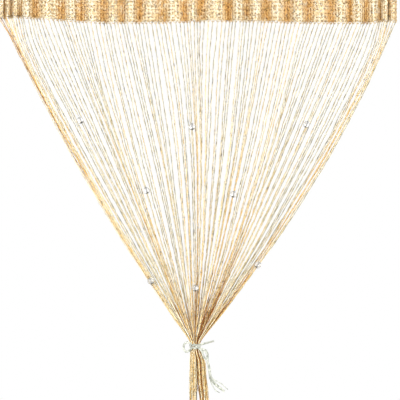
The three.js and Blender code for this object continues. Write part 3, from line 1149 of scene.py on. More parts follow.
@dataclass(frozen=True)
class BeadFinish:
    """Clear cut crystal, greyed towards the hole's ends by painted shade, as a mark on the mesh shows.

    Attributes:
        clear: The colour round the bead's middle.
        grey: The painted shade at the hole's ends.
        grey_from: Where on the way from the middle to the hole's ends the grey starts.
        haze: How far a fine noise moves that.
        haze_scale: The noise's scale.
    """

    name: str = "clear_crystal"
    clear: Colour = colour(1.0, 1.0, 1.0)
    grey: Colour = colour(0.12, 0.12, 0.11)
    grey_from: float = 0.5
    haze: float = 0.25
    haze_scale: float = 160
    roughness: float = 0.04
    ior: float = 1.5
    transmission: float = 0.75

    def build(self) -> bpy.types.Material:
        """Makes the material.

        Returns:
            The material.
        """
        material, shader, bsdf = new_material(self.name)
        haze = shader.math("MULTIPLY", shader.noise(shader.place(), self.haze_scale), self.haze)
        pole_shade = shader.ramp(shader.math("ADD", shader.mark("pole_shade"), haze), self.grey_from, 1.0)
        shader.put(bsdf.inputs["Base Color"], shader.mix(pole_shade, self.clear, self.grey))
        bsdf.inputs["Roughness"].default_value = self.roughness
        bsdf.inputs["IOR"].default_value = self.ior
        bsdf.inputs["Transmission Weight"].default_value = self.transmission
        return material


@dataclass(frozen=True)
class RibbonFinish:
    """Thin clear-white plastic ribbon, crinkled, with painted shade between the crinkles.

    Attributes:
        white: The colour on the crinkles.
        shade: The painted shade between them.
        crinkle_scale: How many crinkles there are in a metre.
        crinkle_detail: How many finer layers they have.
        crinkle_rough: How strong those are.
        crinkle: Where the crinkles' noise goes from shade to white.
        relief: How strongly the crinkles stand out.
        relief_depth: Their depth in metres.
    """

    name: str = "clear_white_ribbon"
    white: Colour = colour(0.72, 0.74, 0.66)
    shade: Colour = colour(0.31, 0.34, 0.28)
    roughness: float = 0.28
    transmission: float = 0.45
    ior: float = 1.45
    crinkle_scale: float = 260
    crinkle_detail: float = 3
    crinkle_rough: float = 0.55
    crinkle: tuple[float, float] = (0.3, 0.6)
    relief: float = 0.5
    relief_depth: float = 0.0006

    def build(self) -> bpy.types.Material:
        """Makes the material.

        Returns:
            The material.
        """
        material, shader, bsdf = new_material(self.name)
        crinkle = shader.noise(shader.place(), self.crinkle_scale, self.crinkle_detail, self.crinkle_rough)
        # The colour between the crinkles is painted shade.
        tone = shader.mix(shader.ramp(crinkle, *self.crinkle), self.shade, self.white)
        shader.put(bsdf.inputs["Base Color"], tone)
        bsdf.inputs["Roughness"].default_value = self.roughness
        bsdf.inputs["Transmission Weight"].default_value = self.transmission
        bsdf.inputs["IOR"].default_value = self.ior
        shader.relief(bsdf, crinkle, self.relief, self.relief_depth)
        return material


def settle(piece: bpy.types.Object, slot: Slot, *nodes: str) -> bpy.types.Object:
    """Rides a piece on the curtain's body, and lets it stand for CAD nodes.

    Args:
        piece: The piece.
        slot: The slot that its finish comes from; not used.
        *nodes: The nodes that it stands for.

    Returns:
        The piece.
    """
    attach(piece, BODY)
    if nodes:
        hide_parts(*nodes)
    return piece


# The curtain's pieces


@dataclass
class Heading:
    """The knitted band: an inner bed, coloured dark as painted shade, and an open net of chains and laid-in
    yarns around it, with painted shade in the recesses of its folds.

    Attributes:
        wale: From chain to chain.
        course: From stitch to stitch down a chain.
        courses: Rows of laid-in yarns.
        first_course: The height of the first row.
        top: The height at which the chains start.
        edge_lap: How far the yarns stay above the band's edge.
        chain_half: Half the distance of a chain's two yarns.
        chain_swing: How far they swing in and out with the stitches.
        laid_half: Half the distance of a row's two yarns.
        laid_swing: How far they swing up and down between the chains.
        weave: How far the yarns pass in front of and behind each other.
        chain_step: From point to point down a chain.
        laid_steps: Points from chain to chain along a row.
        recess_from: The depth in a fold, in swings, at which the recess tint, a painted shade, starts.
        recess_span: The depth over which it grows full.
        wale_drift: How unevenly the chains stand.
        course_drift: How unevenly the rows lie.
        drift_knots: How often along the band the rows' drift changes.
        streak: How much the chains' tones differ at random, as streaks of the painted recess shade.
    """

    folds: HeadingFolds
    finish: bpy.types.Material
    shaded_bed_finish: bpy.types.Material
    wale: float = 6.9
    course: float = 6.4
    courses: int = 7
    first_course: float = -3.0
    top: float = -0.9
    edge_lap: float = 0.4
    yarn: float = 1.02
    chain_half: float = 0.85
    chain_swing: float = 0.35
    laid_half: float = 0.8
    laid_swing: float = 0.25
    weave: float = 0.45
    bed_half: float = 0.2
    bed_steps: int = 900
    bed_levels: int = 6
    chain_step: float = 1.5
    laid_steps: int = 6
    sides: int = 5
    recess_from: float = -0.42
    recess_span: float = 0.7
    wale_drift: float = 0.8
    course_drift: float = 0.7
    drift_knots: int = 90
    streak: float = 0.16

    def recess(self, swing: np.ndarray, front: np.ndarray | float, x: np.ndarray) -> np.ndarray:
        """How deep in a fold points lie, on their own side of the band: the mark of the painted shade in the
        recesses.

        Args:
            swing: How far behind the middle plane the band lies there.
            front: Above nothing on the viewer's side of the band, below nothing on the other.
            x: Places from left to right.

        Returns:
            Numbers in 0 to 1, less in narrow folds.
        """
        depth = swing * np.where(np.asarray(front) >= 0, 1.0, -1.0)
        share = np.clip((depth - self.recess_from) / self.recess_span, 0, 1)
        return share * share * (3 - 2 * share) * self.folds.openness(x)

    def lay(self, store: MeshStore, walked: np.ndarray, high: np.ndarray, stand: np.ndarray, yarn: float,
            tone: float = 0.0) -> None:
        """Lays one yarn over the band.

        Args:
            store: Where the mesh is collected.
            walked: How far along the folds each point is.
            high: The height of each point.
            stand: How far each point stands towards the viewer's side.
            yarn: The yarn's radius.
            tone: How much more of the painted recess shade the yarn has.
        """
        middle, front, swing = self.folds.place(walked, high)
        rings = tube_rings(middle + front * stand[:, None], (yarn, yarn), self.sides, reference=front)
        offset = np.einsum("ijk,ik->ij", rings - middle[:, None, :], front)
        marks = self.recess(swing[:, None], offset, middle[:, :1])
        store.sweep(rings * MM, np.clip(marks + tone, 0, 1))

    def edge_at(self, walked: np.ndarray) -> np.ndarray:
        """The band's lower edge at distances along the folds."""
        return self.folds.edge_z(np.interp(walked, self.folds.walked, self.folds.fine[:, 0]))

    def chains(self, rng: np.random.Generator) -> bpy.types.Object:
        """Builds the upright chains, two yarns each.

        Args:
            rng: The source of their unevenness.

        Returns:
            The piece.
        """
        store = MeshStore(("recess",))
        total = self.folds.walked[-1]
        for place in np.arange(self.wale / 2, total, self.wale):
            place += rng.normal(0, self.wale_drift)
            # Each chain takes a random share more or less of the painted recess shade, in streaks.
            tone = rng.normal(0, self.streak)
            end = float(self.edge_at(np.array([place]))[0]) + self.edge_lap
            high = np.linspace(self.top, end, int((self.top - end) / self.chain_step) + 2)
            phase = 2 * math.pi * (high - self.first_course) / self.course
            for side in (1, -1):
                aside = side * (self.chain_half + self.chain_swing * np.cos(phase))
                walked = np.clip(place + aside, 0, total)
                self.lay(store, walked, high, side * self.weave * np.sin(phase), self.yarn, tone)
        return store.build("heading_chains", self.finish, Shade.SMOOTH)

    def laid_yarns(self, rng: np.random.Generator) -> bpy.types.Object:
        """Builds the yarns that are laid across the chains, two to a course.

        Args:
            rng: The source of their unevenness.

        Returns:
            The piece.
        """
        store = MeshStore(("recess",))
        count = int(self.folds.walked[-1] / self.wale)
        walked = np.linspace(0, self.folds.walked[-1], count * self.laid_steps + 1)
        phase = 2 * math.pi * walked / self.wale
        lowest = self.edge_at(walked) + self.edge_lap
        for row in range(self.courses):
            at = np.linspace(0, walked[-1], self.drift_knots)
            drift = np.interp(walked, at, rng.normal(0, self.course_drift, self.drift_knots))
            for side in (1, -1):
                apart = side * (self.laid_half + self.laid_swing * np.cos(phase))
                high = self.first_course - row * self.course + drift + apart
                high = np.maximum(high, lowest + self.yarn * (1 + side / 2))
                self.lay(store, walked, high, -side * self.weave * np.cos(phase), self.yarn)
        return store.build("heading_laid_yarns", self.finish, Shade.SMOOTH)

    def bed(self) -> bpy.types.Object:
        """Builds the closer inner bed that shows through the net, a real bed of the double knit, dark with
        painted shade.

        Returns:
            The piece.
        """
        walked = np.linspace(0, self.folds.walked[-1], self.bed_steps)
        low = self.edge_at(walked) + 2 * self.edge_lap
        levels = [self.top + (low - self.top) * share for share in np.linspace(0, 1, self.bed_levels)]
        sides = []
        marks = []
        for way in (1, -1):
            for high in levels[::way]:
                middle, front, swing = self.folds.place(walked, high)
                sides.append(middle + front * way * self.bed_half)
                marks.append(self.recess(swing, float(way), middle[:, 0]))
        store = MeshStore(("recess",))
        store.sweep(np.stack(sides, axis=1) * MM, np.stack(marks, axis=1))
        return store.build("heading_bed", self.shaded_bed_finish, Shade.SMOOTH)

    def build(self) -> None:
        rng = np.random.default_rng(SEED)
        bed = settle(self.bed(), Slot.HEADING, "heading")
        net = [settle(self.chains(rng), Slot.HEADING), settle(self.laid_yarns(rng), Slot.HEADING)]
        LOG.info("heading: %d courses", self.courses)


ShareTables = tuple[tuple[float, ...], tuple[float, ...]]


@dataclass
class Strings:
    """The strings, each a flat tinsel yarn with a slow twist, their filaments and their root course.

    Attributes:
        twist_pitch: The length in which a yarn turns once.
        twist_spread: How much shorter and longer that may be.
        filaments: How many filaments stand off a string.
        filament_until: The height at which the filaments end.
        filament_reach: How far they stand off.
        filament_reach_spread: How much less and more that may be.
        filament_run: Points between two changes of that.
        filament_pitch: The length in which a filament winds round once.
        filament_pitch_spread: How much shorter and longer that may be.
        filament_hold: How far from the tie the filaments stand off freely.
        filament_hold_late: How much of that the tie keeps them close.
        filament_least: How far they stand off in the tie, as a share.
        upper_step: From point to point down a string above fine_until.
        tail_step: The same below it.
        fine_until: The height at which the strings' points grow wider apart.
        bend_reach: How long a bend's curve is to either side.
        wander: How far a string wanders from its way.
        wander_waves: The lengths of the waves in which it does.
        wander_full: The length from which a wave has its full size, and the distance from the tie.
        wander_least: How far a string wanders in the tie, as a share.
        bead_ease: How far from a bead the yarns stray freely again.
        bead_hold: How far they stray in its hole, as a share.
        crowd_top: The height from which the crowding is read.
        crowd_step: From level to level of that reading.
        crowd_reach: How near another string counts as crowding.
        crowd_full: How many of them are a full crowd.
        sparse_spread: How much the strings' sparse tones differ; the sparse tint greys the strings that stand
            alone, while crowded ones take the painted shade.
        dark_share: The share of strings with the shade tone from left to right, at the heading and the tie;
            at the tie it is higher on the right, painted shade on the bundle's shaded side.
        cream_share: The same for the cream tone; at the tie it is higher on the left, painted light on the
            bundle's lit side.
        umber_share: The same for the dark brown tone, a painted shadow where strings crowd, most right of the
            tie's middle.
        share_blur: How softly a string comes into or loses a tone.
        gold_share: How much the shade tone takes from the sparse one.
        mixed_below: How far below the tie the tones have mixed.
        mixed_share: How much of the way back to the heading's shares they have mixed.
        lock_share: The share of strings in the lock at the left edge, which take the painted shade of a full
            crowd.
        sparse_tone: The share of a tone that a lone string shows; the tones show fully only where strings
            crowd, as painted shade and painted light.
        tone_drift: How much a tone drifts along a string.
        tone_run: The length between two changes of it.
        loop_lean: How far a loop leans over its neighbours.
        loop_drop: How far the course's middle lies below the root gap.
        loop_half: Half a loop's height.
        loop_weave: How far a loop passes in front of and behind the next.
    """

    runs: StringRuns
    heading: Heading
    finish: bpy.types.Material
    filament_finish: bpy.types.Material
    half_width: float = 0.76
    half_depth: float = 0.5
    sides: int = 4
    twist_pitch: float = 52
    twist_spread: tuple[float, float] = (0.8, 1.25)
    filaments: int = 3
    filament_radius: float = 0.13
    filament_sides: int = 3
    filament_step: float = 5
    filament_until: float = -655
    filament_reach: float = 1.7
    filament_reach_spread: tuple[float, float] = (0.45, 1.25)
    filament_run: int = 9
    filament_pitch: float = 34
    filament_pitch_spread: tuple[float, float] = (0.6, 1.6)
    filament_hold: float = 45
    filament_hold_late: float = 0.1
    filament_least: float = 0.25
    upper_step: float = 4
    tail_step: float = 8
    fine_until: float = -700
    bend_reach: float = 40
    wander: float = 0.3
    wander_waves: tuple[float, ...] = (170, 63, 24)
    wander_full: float = 60
    wander_least: float = 0.15
    bead_ease: float = 8
    bead_hold: float = 0.4
    bundles: int = 4
    crowd_top: float = -50
    crowd_step: float = 10
    crowd_reach: float = 2.4
    crowd_full: float = 3.6
    sparse_spread: float = 0.2
    dark_share: ShareTables = (
        (1.0, 0.3, 0.2, 0.3, 0.3, 0.35, 0.4, 0.4, 0.4, 0.35, 0.8),
        (0.6, 0.2, 0.25, 0.35, 0.45, 0.5, 0.65, 0.8, 0.75, 0.6, 0.4),
    )
    cream_share: ShareTables = (
        (0.05, 0.4, 0.5, 0.5, 0.45, 0.4, 0.35, 0.35, 0.35, 0.4, 0.15),
        (0.5, 0.8, 0.75, 0.6, 0.5, 0.35, 0.15, 0.1, 0.1, 0.15, 0.25),
    )
    umber_share: ShareTables = (
        (0.35, 0.05, 0.05, 0.1, 0.1, 0.2, 0.2, 0.2, 0.1, 0.05, 0.1),
        (0.05, 0.05, 0.08, 0.1, 0.14, 0.25, 0.42, 0.6, 0.5, 0.3, 0.2),
    )
    share_blur: float = 0.1
    gold_share: float = 0.45
    mixed_below: float = 50
    mixed_share: float = 0.4
    lock_share: float = 0.1
    umber_tone: float = 0.95
    dark_tone: float = 0.9
    cream_tone: float = 0.7
    sparse_tone: float = 0.4
    tone_drift: float = 0.26
    tone_run: float = 90
    loop_steps: int = 16
    loop_lean: float = 1
    loop_drop: float = 0.6
    loop_half: float = 1.5
    loop_weave: float = 0.6
    loop_yarn: float = 0.72

    def bead_room(self, line: np.ndarray) -> np.ndarray:
        """How freely a yarn may stray: less in a bead's hole and beside a bead.

        Args:
            line: Points along the yarn.

        Returns:
            One number for each point, up to 1.
        """
        room = np.ones(len(line))
        for centre, _ in self.runs.beads:
            away = np.linalg.norm(line - centre, axis=1) - self.runs.bead_radius
            room = np.minimum(room, np.clip(away / self.bead_ease, self.bead_hold, 1))
        return room

    def centre_line(self, way: np.ndarray, rng: np.random.Generator) -> np.ndarray:
        """A string's smooth middle line.

        Args:
            way: The string's bends.
            rng: The source of its small wanderings.

        Returns:
            Points from root to tip, closer together where the string is seen near.
        """
        start, end = way[0, 2] + self.runs.root_cover, way[-1, 2]
        upper = np.arange(start, self.fine_until, -self.upper_step)
        lower = np.arange(self.fine_until, end, -self.tail_step)
        z = np.concatenate([upper, lower, [end]])
        plan = [eased_line(-way[:, 2], way[:, axis], -z, self.bend_reach) for axis in (0, 1)]
        line = np.stack([*plan, z], axis=1)
        away = np.abs(z - self.runs.tie_z) / self.wander_full
        free = np.clip(away, self.wander_least, 1) * self.bead_room(line)
        for axis in (0, 1):
            for length in self.wander_waves:
                phase = rng.uniform(0, 2 * math.pi)
                size = rng.normal(0, self.wander * min(1, length / self.wander_full))
                line[:, axis] += size * free * np.sin(2 * math.pi * z / length + phase)
        return line

    def crowding(self, lines: list[np.ndarray]) -> list[np.ndarray]:
        """How closely other strings stand beside each string's points, from 0 to 1, which sets the painted
        shade of crowded strings.

        Args:
            lines: The strings' middle lines.

        Returns:
            One array for each line.
        """
        levels = np.arange(self.crowd_top, self.runs.tail[-1].z, -self.crowd_step)
        across = np.array([np.interp(-levels, -line[:, 2], line[:, 0]) for line in lines])
        near = (np.abs(across[:, None, :] - across[None, :, :]) < self.crowd_reach).sum(axis=1) - 1
        share = np.clip(near / self.crowd_full, 0, 1)
        return [np.interp(-line[:, 2], -levels, row) for line, row in zip(lines, share)]

    def build(self) -> None:
        """Builds the strings in bundles, side by side, and their root course."""
        rng = np.random.default_rng(SEED)
        stores = [MeshStore(("sparse", "shade", "cream", "umber_shade")) for _ in range(self.bundles)]
        lines = [self.centre_line(way, rng) for way in self.runs.ways]
        umber_shades = []
        for index, (line, crowd) in enumerate(zip(lines, self.crowding(lines))):
            walked = walked_along(line)
            pitch = self.twist_pitch * rng.uniform(*self.twist_spread)
            twist = rng.uniform(0, 2 * math.pi) + 2 * math.pi * walked / pitch
            rings = tube_rings(line, (self.half_width, self.half_depth), self.sides, twist)
            # The tones paint the light among the strings: where strings crowd, and in the left lock, the
            # shade, cream and dark brown tones show fully as painted shade and painted light, and lone
            # strings take the grey sparse tint. Which strings take a tone is drawn at random with the tables'
            # shares.
            place, draw = index / (len(lines) - 1), rng.random()
            lock = max(0.0, 1 - place / self.lock_share)
            heights = [-line[0, 2], -self.runs.tie_z, self.mixed_below - self.runs.tie_z]
            down = np.interp(-line[:, 2], heights, [0, 1, self.mixed_share])
            dark = self.chosen(self.dark_share, place, down, draw)
            own = 1 - crowd - lock - self.gold_share * dark
            sparse = np.clip(own + rng.normal(0, self.sparse_spread), 0, 1)
            cream = self.chosen(self.cream_share, place, down, 1 - draw)
            umber_shade = self.chosen(self.umber_share, place, down, rng.random())
            fullness = self.sparse_tone + (1 - self.sparse_tone) * np.maximum(crowd, lock)
            umber_shades.append(self.tone(rng, walked, self.umber_tone * umber_shade) * np.maximum(crowd**2, lock))
            tones = [self.tone(rng, walked, self.dark_tone * dark) * fullness,
                     self.tone(rng, walked, self.cream_tone * cream) * fullness, umber_shades[-1]]
            marks = np.repeat(np.stack([sparse, *tones], axis=1)[:, None, :], self.sides, axis=1)
            stores[index * self.bundles // len(lines)].sweep(rings * MM, marks)
        for number, store in enumerate(stores, start=1):
            piece = store.build(f"strings_{number}", self.finish, Shade.SMOOTH)
            settle(piece, Slot.STRING, *(["strings"] if number == 1 else []))
        self.lurex(lines, umber_shades)
        self.root_course()
        LOG.info("strings: %d", len(self.runs.ways))

    def chosen(self, tables: ShareTables, place: float, down: np.ndarray, draw: float) -> np.ndarray:
        """How fully a string has a tone along its way, from 0 to 1.

        Args:
            tables: The share of strings with the tone.
            place: The string's own place from left to right, from 0 to 1.
            down: How far down to the tie each point is, from 0 to 1.
            draw: The string's own random number, which the share has to pass.

        Returns:
            One number for each point.
        """
        top, low = (np.interp(place, np.linspace(0, 1, len(table)), table) for table in tables)
        return np.clip(0.5 + (top + (low - top) * down - draw) / self.share_blur, 0, 1)

    def tone(self, rng: np.random.Generator, walked: np.ndarray, own: np.ndarray) -> np.ndarray:
        """Lets a tone drift along a string.

        Args:
            rng: The source of the drift.
            walked: How far down the string each point is.
            own: The tone's own value at each point.

        Returns:
            The drifted values, from 0 to 1.
        """
        knots = rng.normal(0, self.tone_drift, int(walked[-1] / self.tone_run) + 2)
        return np.clip(own + np.interp(walked, np.linspace(0, walked[-1], len(knots)), knots), 0, 1)

    def lurex(self, lines: list[np.ndarray], umber_shades: list[np.ndarray]) -> None:
        """Builds the fine metallic filaments that stand off each string.

        Args:
            lines: The strings' middle lines.
            umber_shades: How brown each string is at each point of its line.
        """
        rng = np.random.default_rng(SEED + 1)
        stores = [MeshStore(("umber_shade",)) for _ in range(self.bundles)]
        for index, (line, umber_shade) in enumerate(zip(lines, umber_shades)):
            z = np.arange(line[0, 2] - 1, self.filament_until, -self.filament_step)
            core = np.stack([*(np.interp(-z, -line[:, 2], line[:, axis]) for axis in (0, 1)), z], axis=1)
            away = np.abs(z - self.runs.tie_z) / self.filament_hold - self.filament_hold_late
            free = np.clip(away, self.filament_least, 1) * self.bead_room(core)
            # The filaments carry their string's painted brown shadow.
            marks = np.repeat(np.interp(-z, -line[:, 2], umber_shade)[:, None], self.filament_sides, axis=1)
            for _ in range(self.filaments):
                start = rng.uniform(0, 2 * math.pi)
                pitch = self.filament_pitch * rng.uniform(*self.filament_pitch_spread)
                turn = start + 2 * math.pi * z / pitch
                knots = rng.uniform(*self.filament_reach_spread, len(z) // self.filament_run + 3)
                reach = self.filament_reach * free * np.interp(z, np.linspace(z[-1], z[0], len(knots)), knots)
                path = core + np.stack([reach * np.cos(turn), reach * np.sin(turn), np.zeros_like(z)], axis=1)
                rings = tube_rings(path, (self.filament_radius,) * 2, self.filament_sides)
                stores[index * self.bundles // len(lines)].sweep(rings * MM, marks)
        for number, store in enumerate(stores, start=1):
            settle(store.build(f"lurex_filaments_{number}", self.filament_finish, Shade.SMOOTH), Slot.STRING)

    def root_course(self) -> None:
        """Builds the course of small loops from which the strings hang."""
        store = MeshStore(("recess",))
        total = self.heading.folds.walked[-1]
        loop = total / self.runs.count
        phase = np.linspace(0, 2 * math.pi * self.runs.count, self.runs.count * self.loop_steps + 1)
        walked = phase / (2 * math.pi) * loop + self.loop_lean * np.sin(2 * phase)
        middle = self.heading.edge_at(walked) - self.runs.root_gap - self.loop_drop
        high = middle + self.loop_half * np.cos(phase)
        stand = -self.loop_weave * np.cos(2 * phase)
        # The loops take the knit's painted recess shade.
        self.heading.lay(store, np.clip(walked, 0, total), high, stand, self.loop_yarn)
        settle(store.build("root_course", self.heading.finish, Shade.SMOOTH), Slot.HEADING)


@dataclass
class Beads:
    """The clear cut beads, each on its own string."""

    runs: StringRuns
    finish: bpy.types.Material
    hole: float = 1.15
    facets: int = 12
    rows: int = 8
    # The hole's upper end takes less painted shade than its lower end.
    upper_pole: float = 0.7
    spin_step: float = 1.3

    def cut_bead(self, name: str) -> bpy.types.Object:
        """Builds one faceted ball with a hole along Z.

        Args:
            name: The piece's name.

        Returns:
            The bead at the origin.
        """
        radius = self.runs.bead_radius
        tip = math.acos(self.hole / radius)
        latitudes = np.linspace(-tip, tip, self.rows + 1)
        store = MeshStore(("pole_shade",))
        rings = []
        for row, latitude in enumerate(latitudes):
            angle = (np.arange(self.facets) + 0.5 * (row % 2)) * 2 * math.pi / self.facets
            flat = radius * math.cos(latitude)
            high = np.full(self.facets, radius * math.sin(latitude))
            rings.append(np.stack([flat * np.cos(angle), flat * np.sin(angle), high], axis=1))
        faces = []
        for row in range(self.rows):
            for k in range(self.facets):
                a, b = row * self.facets + k, row * self.facets + (k + 1) % self.facets
                c, d = a + self.facets, b + self.facets
                faces += [(a, b, c), (b, d, c)] if row % 2 == 0 else [(a, b, d), (a, d, c)]
        last = self.rows * self.facets
        for k in range(self.facets):
            after = (k + 1) % self.facets
            faces.append((last + k, last + after, after, k))
        points = np.concatenate(rings)
        # The mark paints shade towards the hole's ends, more at the lower end.
        pole_shade = np.abs(points[:, 2]) / radius
        store.add(points * MM, faces, pole_shade * np.where(points[:, 2] < 0, 1.0, self.upper_pole))
        return store.build(name, self.finish, Shade.FLAT)

    def build(self) -> None:
        """Builds every bead in place of its CAD node."""
        for number, (centre, along) in enumerate(self.runs.beads, start=1):
            bead = self.cut_bead(f"cut_bead_{number:02d}")
            turn = Vector((0, 0, 1)).rotation_difference(Vector(along)).to_matrix().to_4x4()
            spin = Matrix.Rotation(number * self.spin_step, 4, "Z")
            bead.data.transform(Matrix.Translation(Vector(centre * MM)) @ turn @ spin)
            settle(bead, Slot.BEAD, f"bead_{number:02d}")
        LOG.info("beads: %d", len(self.runs.beads))


Route = tuple[tuple[float, float, float], ...]


@dataclass(frozen=True)
class Turn:
    """One turn of ribbon round the strings: its gap to them, its tilt, where that starts and its sizes."""

    gap: float
    tilt: float
    start: float
    z: float
    width: float


@dataclass(frozen=True)
class Strip:
    """One stretch of ribbon: the points along its middle, its width, and where its creases start."""

    route: Route
    width: float
    phase: float


@dataclass(frozen=True)
class Crease:
    """How a ribbon is creased.

    Attributes:
        depth: How far its lengthwise creases stand out.
        half: Half its thickness.
        columns: Points across its face.
        points: Points along it.
    """

    depth: float
    half: float
    columns: int
    points: int


@dataclass
class RibbonTie:
    """The plastic ribbon: two turns round the strings, a knot, two loops and two loose ends.

    Attributes:
        turn_wave: How far a turn waves in and out.
        turn_waves: How often it does.
        turn_pinch: How much narrower a turn grows on one side.
        turn_bulge: How far a turn's middle stands out.
        crease_across: By how much the creases turn from edge to edge of a ribbon.
        crease_along: By how much they turn from end to end.
        crease_share: The middle of the share of their depth that the creases have.
        crease_rate: How fast that share changes along a ribbon.
        hump_gap: From the bundle to the knot's middle.
        end_share: The middle of the share of its width that a loose end has.
        end_rate: How fast that share changes along it.
        end_start: Where that change starts.
    """

    runs: StringRuns
    finish: bpy.types.Material
    bundle_radius: float = 8.6
    turns: tuple[Turn, ...] = (Turn(0.5, 0.8, 0.4, -573.8, 3.6), Turn(0.9, -1.2, 2.3, -578.0, 3.2))
    turn: Crease = Crease(0, 0.16, 5, 72)
    turn_wave: float = 0.15
    turn_waves: int = 5
    turn_pinch: float = 0.15
    turn_bulge: float = 0.3
    crease_across: float = 9.5
    crease_along: float = 5
    crease_share: float = 0.6
    crease_rate: float = 17
    loop: Crease = Crease(0.35, 0.16, 7, 40)
    loop_facing: tuple[float, float, float] = (0, -1, 0.3)
    loops: tuple[Strip, ...] = (
        Strip(((-9, -9.5, -574), (-15, -11, -569.5), (-21, -10.5, -572), (-22.6, -9.5, -579),
               (-19, -9, -585), (-13.5, -9.5, -583), (-8.5, -10, -577.5)), 3.4, 0),
        Strip(((1, -10.2, -577), (7.5, -11.4, -580.5), (14, -12, -583), (16.6, -12.5, -590),
               (13, -13.8, -596.5), (9.5, -14.4, -591), (6.5, -12.6, -583), (1.5, -10.8, -578.5)), 3.4, 1.1),
        Strip(((8.4, -13.4, -583.2), (13.6, -13.8, -585.2), (16.4, -13.4, -591.2), (16.4, -12.8, -600.8)),
              3.4, 0.5),
    )
    hump: Crease = Crease(0.5, 0.2, 7, 22)
    hump_gap: float = 1.6
    humps: tuple[Strip, ...] = (
        Strip(((-6.5, 1.6, -573.4), (-3.5, -0.9, -574), (1, -1.4, -576.6), (4.2, 1.0, -578.6)), 3.6, 0.3),
        Strip(((-5.2, 1.4, -578.8), (-2.4, -0.2, -577.6), (1.4, -1.0, -574.8), (5.2, 0.8, -573.6)), 3.4, 1.4),
        Strip(((-2.8, 0.2, -572.4), (-1.8, -1.8, -574.6), (-0.4, -1.6, -578), (0.2, 0.6, -580.2)), 3.0, 2.2),
    )
    torn: Crease = Crease(0.2, 0.14, 5, 26)
    torn_tip: float = 1.2
    strips: tuple[Strip, ...] = (
        Strip(((20.4, -13.2, -619), (23.6, -13.8, -627), (29.6, -14.2, -631.6), (37.6, -14.2, -635.6),
               (44.6, -13.6, -641.8), (49.6, -13.0, -646.4)), 2.4, 0),
        Strip(((20.0, -12.8, -620), (22.4, -13.2, -630), (28.4, -13.6, -639), (35.2, -13.6, -644.6),
               (41.2, -13.2, -648.6)), 2.4, 1.7),
        Strip(((19.6, -12.4, -620), (20.8, -12.6, -631), (24.8, -12.8, -641), (30.0, -12.8, -648.0),
               (36.2, -12.6, -651.4)), 2.4, 3.4),
    )
    end: Crease = Crease(0.3, 0.16, 7, 44)
    end_share: float = 0.82
    end_rate: float = 2.6
    end_start: float = 0.4
    upper_end: Strip = Strip(
        ((4.6, -11.6, -573.6), (9.2, -14.6, -571.8), (13.6, -18.2, -570.3), (17.6, -22.2, -568.8),
         (21.2, -26.4, -567.4), (24.4, -30.2, -566.2), (26.6, -33.6, -565.4)), 3.2, 0.8)
    lower_end: Strip = Strip(
        ((16.2, -12.6, -600.4), (17.8, -12.6, -605), (19.2, -12.6, -611.5), (19.9, -12.7, -620),
         (22, -12.9, -628), (26.6, -13.2, -635), (33, -13.4, -640.5), (39, -13.4, -645.3),
         (44, -13, -649.5)), 4.5, 0.8)

    def ribbon(self, store: MeshStore, path: np.ndarray, width: np.ndarray | float, crease: Crease,
               phase: float, facing: np.ndarray = -Y_AXIS) -> None:
        """Adds a thin creased ribbon along a path.

        Args:
            store: Where the mesh is collected.
            path: Points along its middle.
            width: Its width at each point.
            crease: How it is creased.
            phase: Where its creases start.
            facing: The direction that its face looks in.
        """
        across, deep = frames_along(path, facing)
        u = np.linspace(-0.5, 0.5, crease.columns)[None, :]
        walked = np.linspace(0, 1, len(path))[:, None]
        wave = np.cos(u * self.crease_across + phase + self.crease_along * walked)
        share = self.crease_share + (1 - self.crease_share) * np.sin(self.crease_rate * walked + phase)
        stand = (crease.depth * wave * share)[..., None] * deep[:, None, :]
        spread = (np.broadcast_to(width, len(path))[:, None] * u)[..., None] * across[:, None, :]
        face = path[:, None, :] + spread + stand
        lift = crease.half * deep[:, None, :]
        store.sweep(np.concatenate([face + lift, (face - lift)[:, ::-1]], axis=1) * MM)

    def winding(self, store: MeshStore, turn: Turn) -> None:
        """Adds one closed turn of ribbon round the strings.

        Args:
            store: Where the mesh is collected.
            turn: The turn's sizes.
        """
        angle = np.linspace(0, 2 * math.pi, self.turn.points, endpoint=False)
        radius = self.bundle_radius + turn.gap
        wave = radius + self.turn_wave * np.sin(self.turn_waves * angle + turn.start)
        high = turn.z + turn.tilt * np.sin(angle + turn.start)
        path = np.stack([self.runs.tie_x + wave * np.cos(angle), wave * np.sin(angle), high], axis=1)
        outward = np.stack([np.cos(angle), np.sin(angle), np.zeros_like(angle)], axis=1)[:, None, :]
        u = np.linspace(-0.5, 0.5, self.turn.columns)[None, :, None]
        width = turn.width * (1 - self.turn_pinch + self.turn_pinch * np.cos(angle + turn.start))
        bulge = self.turn_bulge * np.cos(u * math.pi) * outward
        face = path[:, None, :] + width[:, None, None] * u * Z_AXIS + bulge
        lift = self.turn.half * outward
        store.sweep(np.concatenate([face + lift, (face - lift)[:, ::-1]], axis=1) * MM, joined=True)

    def loose_end(self, name: str, node: str, strip: Strip) -> None:
        """Builds one loose end of the ribbon.

        Args:
            name: The piece's name.
            node: The node that it stands for.
            strip: Its route, width and creases.
        """
        path = smooth_route(strip.route, self.end.points)
        rise = np.sin(self.end_rate * np.linspace(0, 1, len(path)) + self.end_start)
        width = strip.width * (self.end_share + (1 - self.end_share) * rise)
        store = MeshStore()
        self.ribbon(store, path, width, self.end, strip.phase)
        piece = settle(store.build(name, self.finish, Shade.SMOOTH), Slot.RIBBON, node)

    def frayed(self) -> bpy.types.Object:
        """Builds the torn strips at the lower end.

        Returns:
            The piece.
        """
        store = MeshStore()
        for strip in self.strips:
            width = np.linspace(strip.width, self.torn_tip, self.torn.points)
            self.ribbon(store, smooth_route(strip.route, self.torn.points), width, self.torn, strip.phase)
        return settle(store.build("ribbon_torn_strips", self.finish, Shade.SMOOTH), Slot.RIBBON)

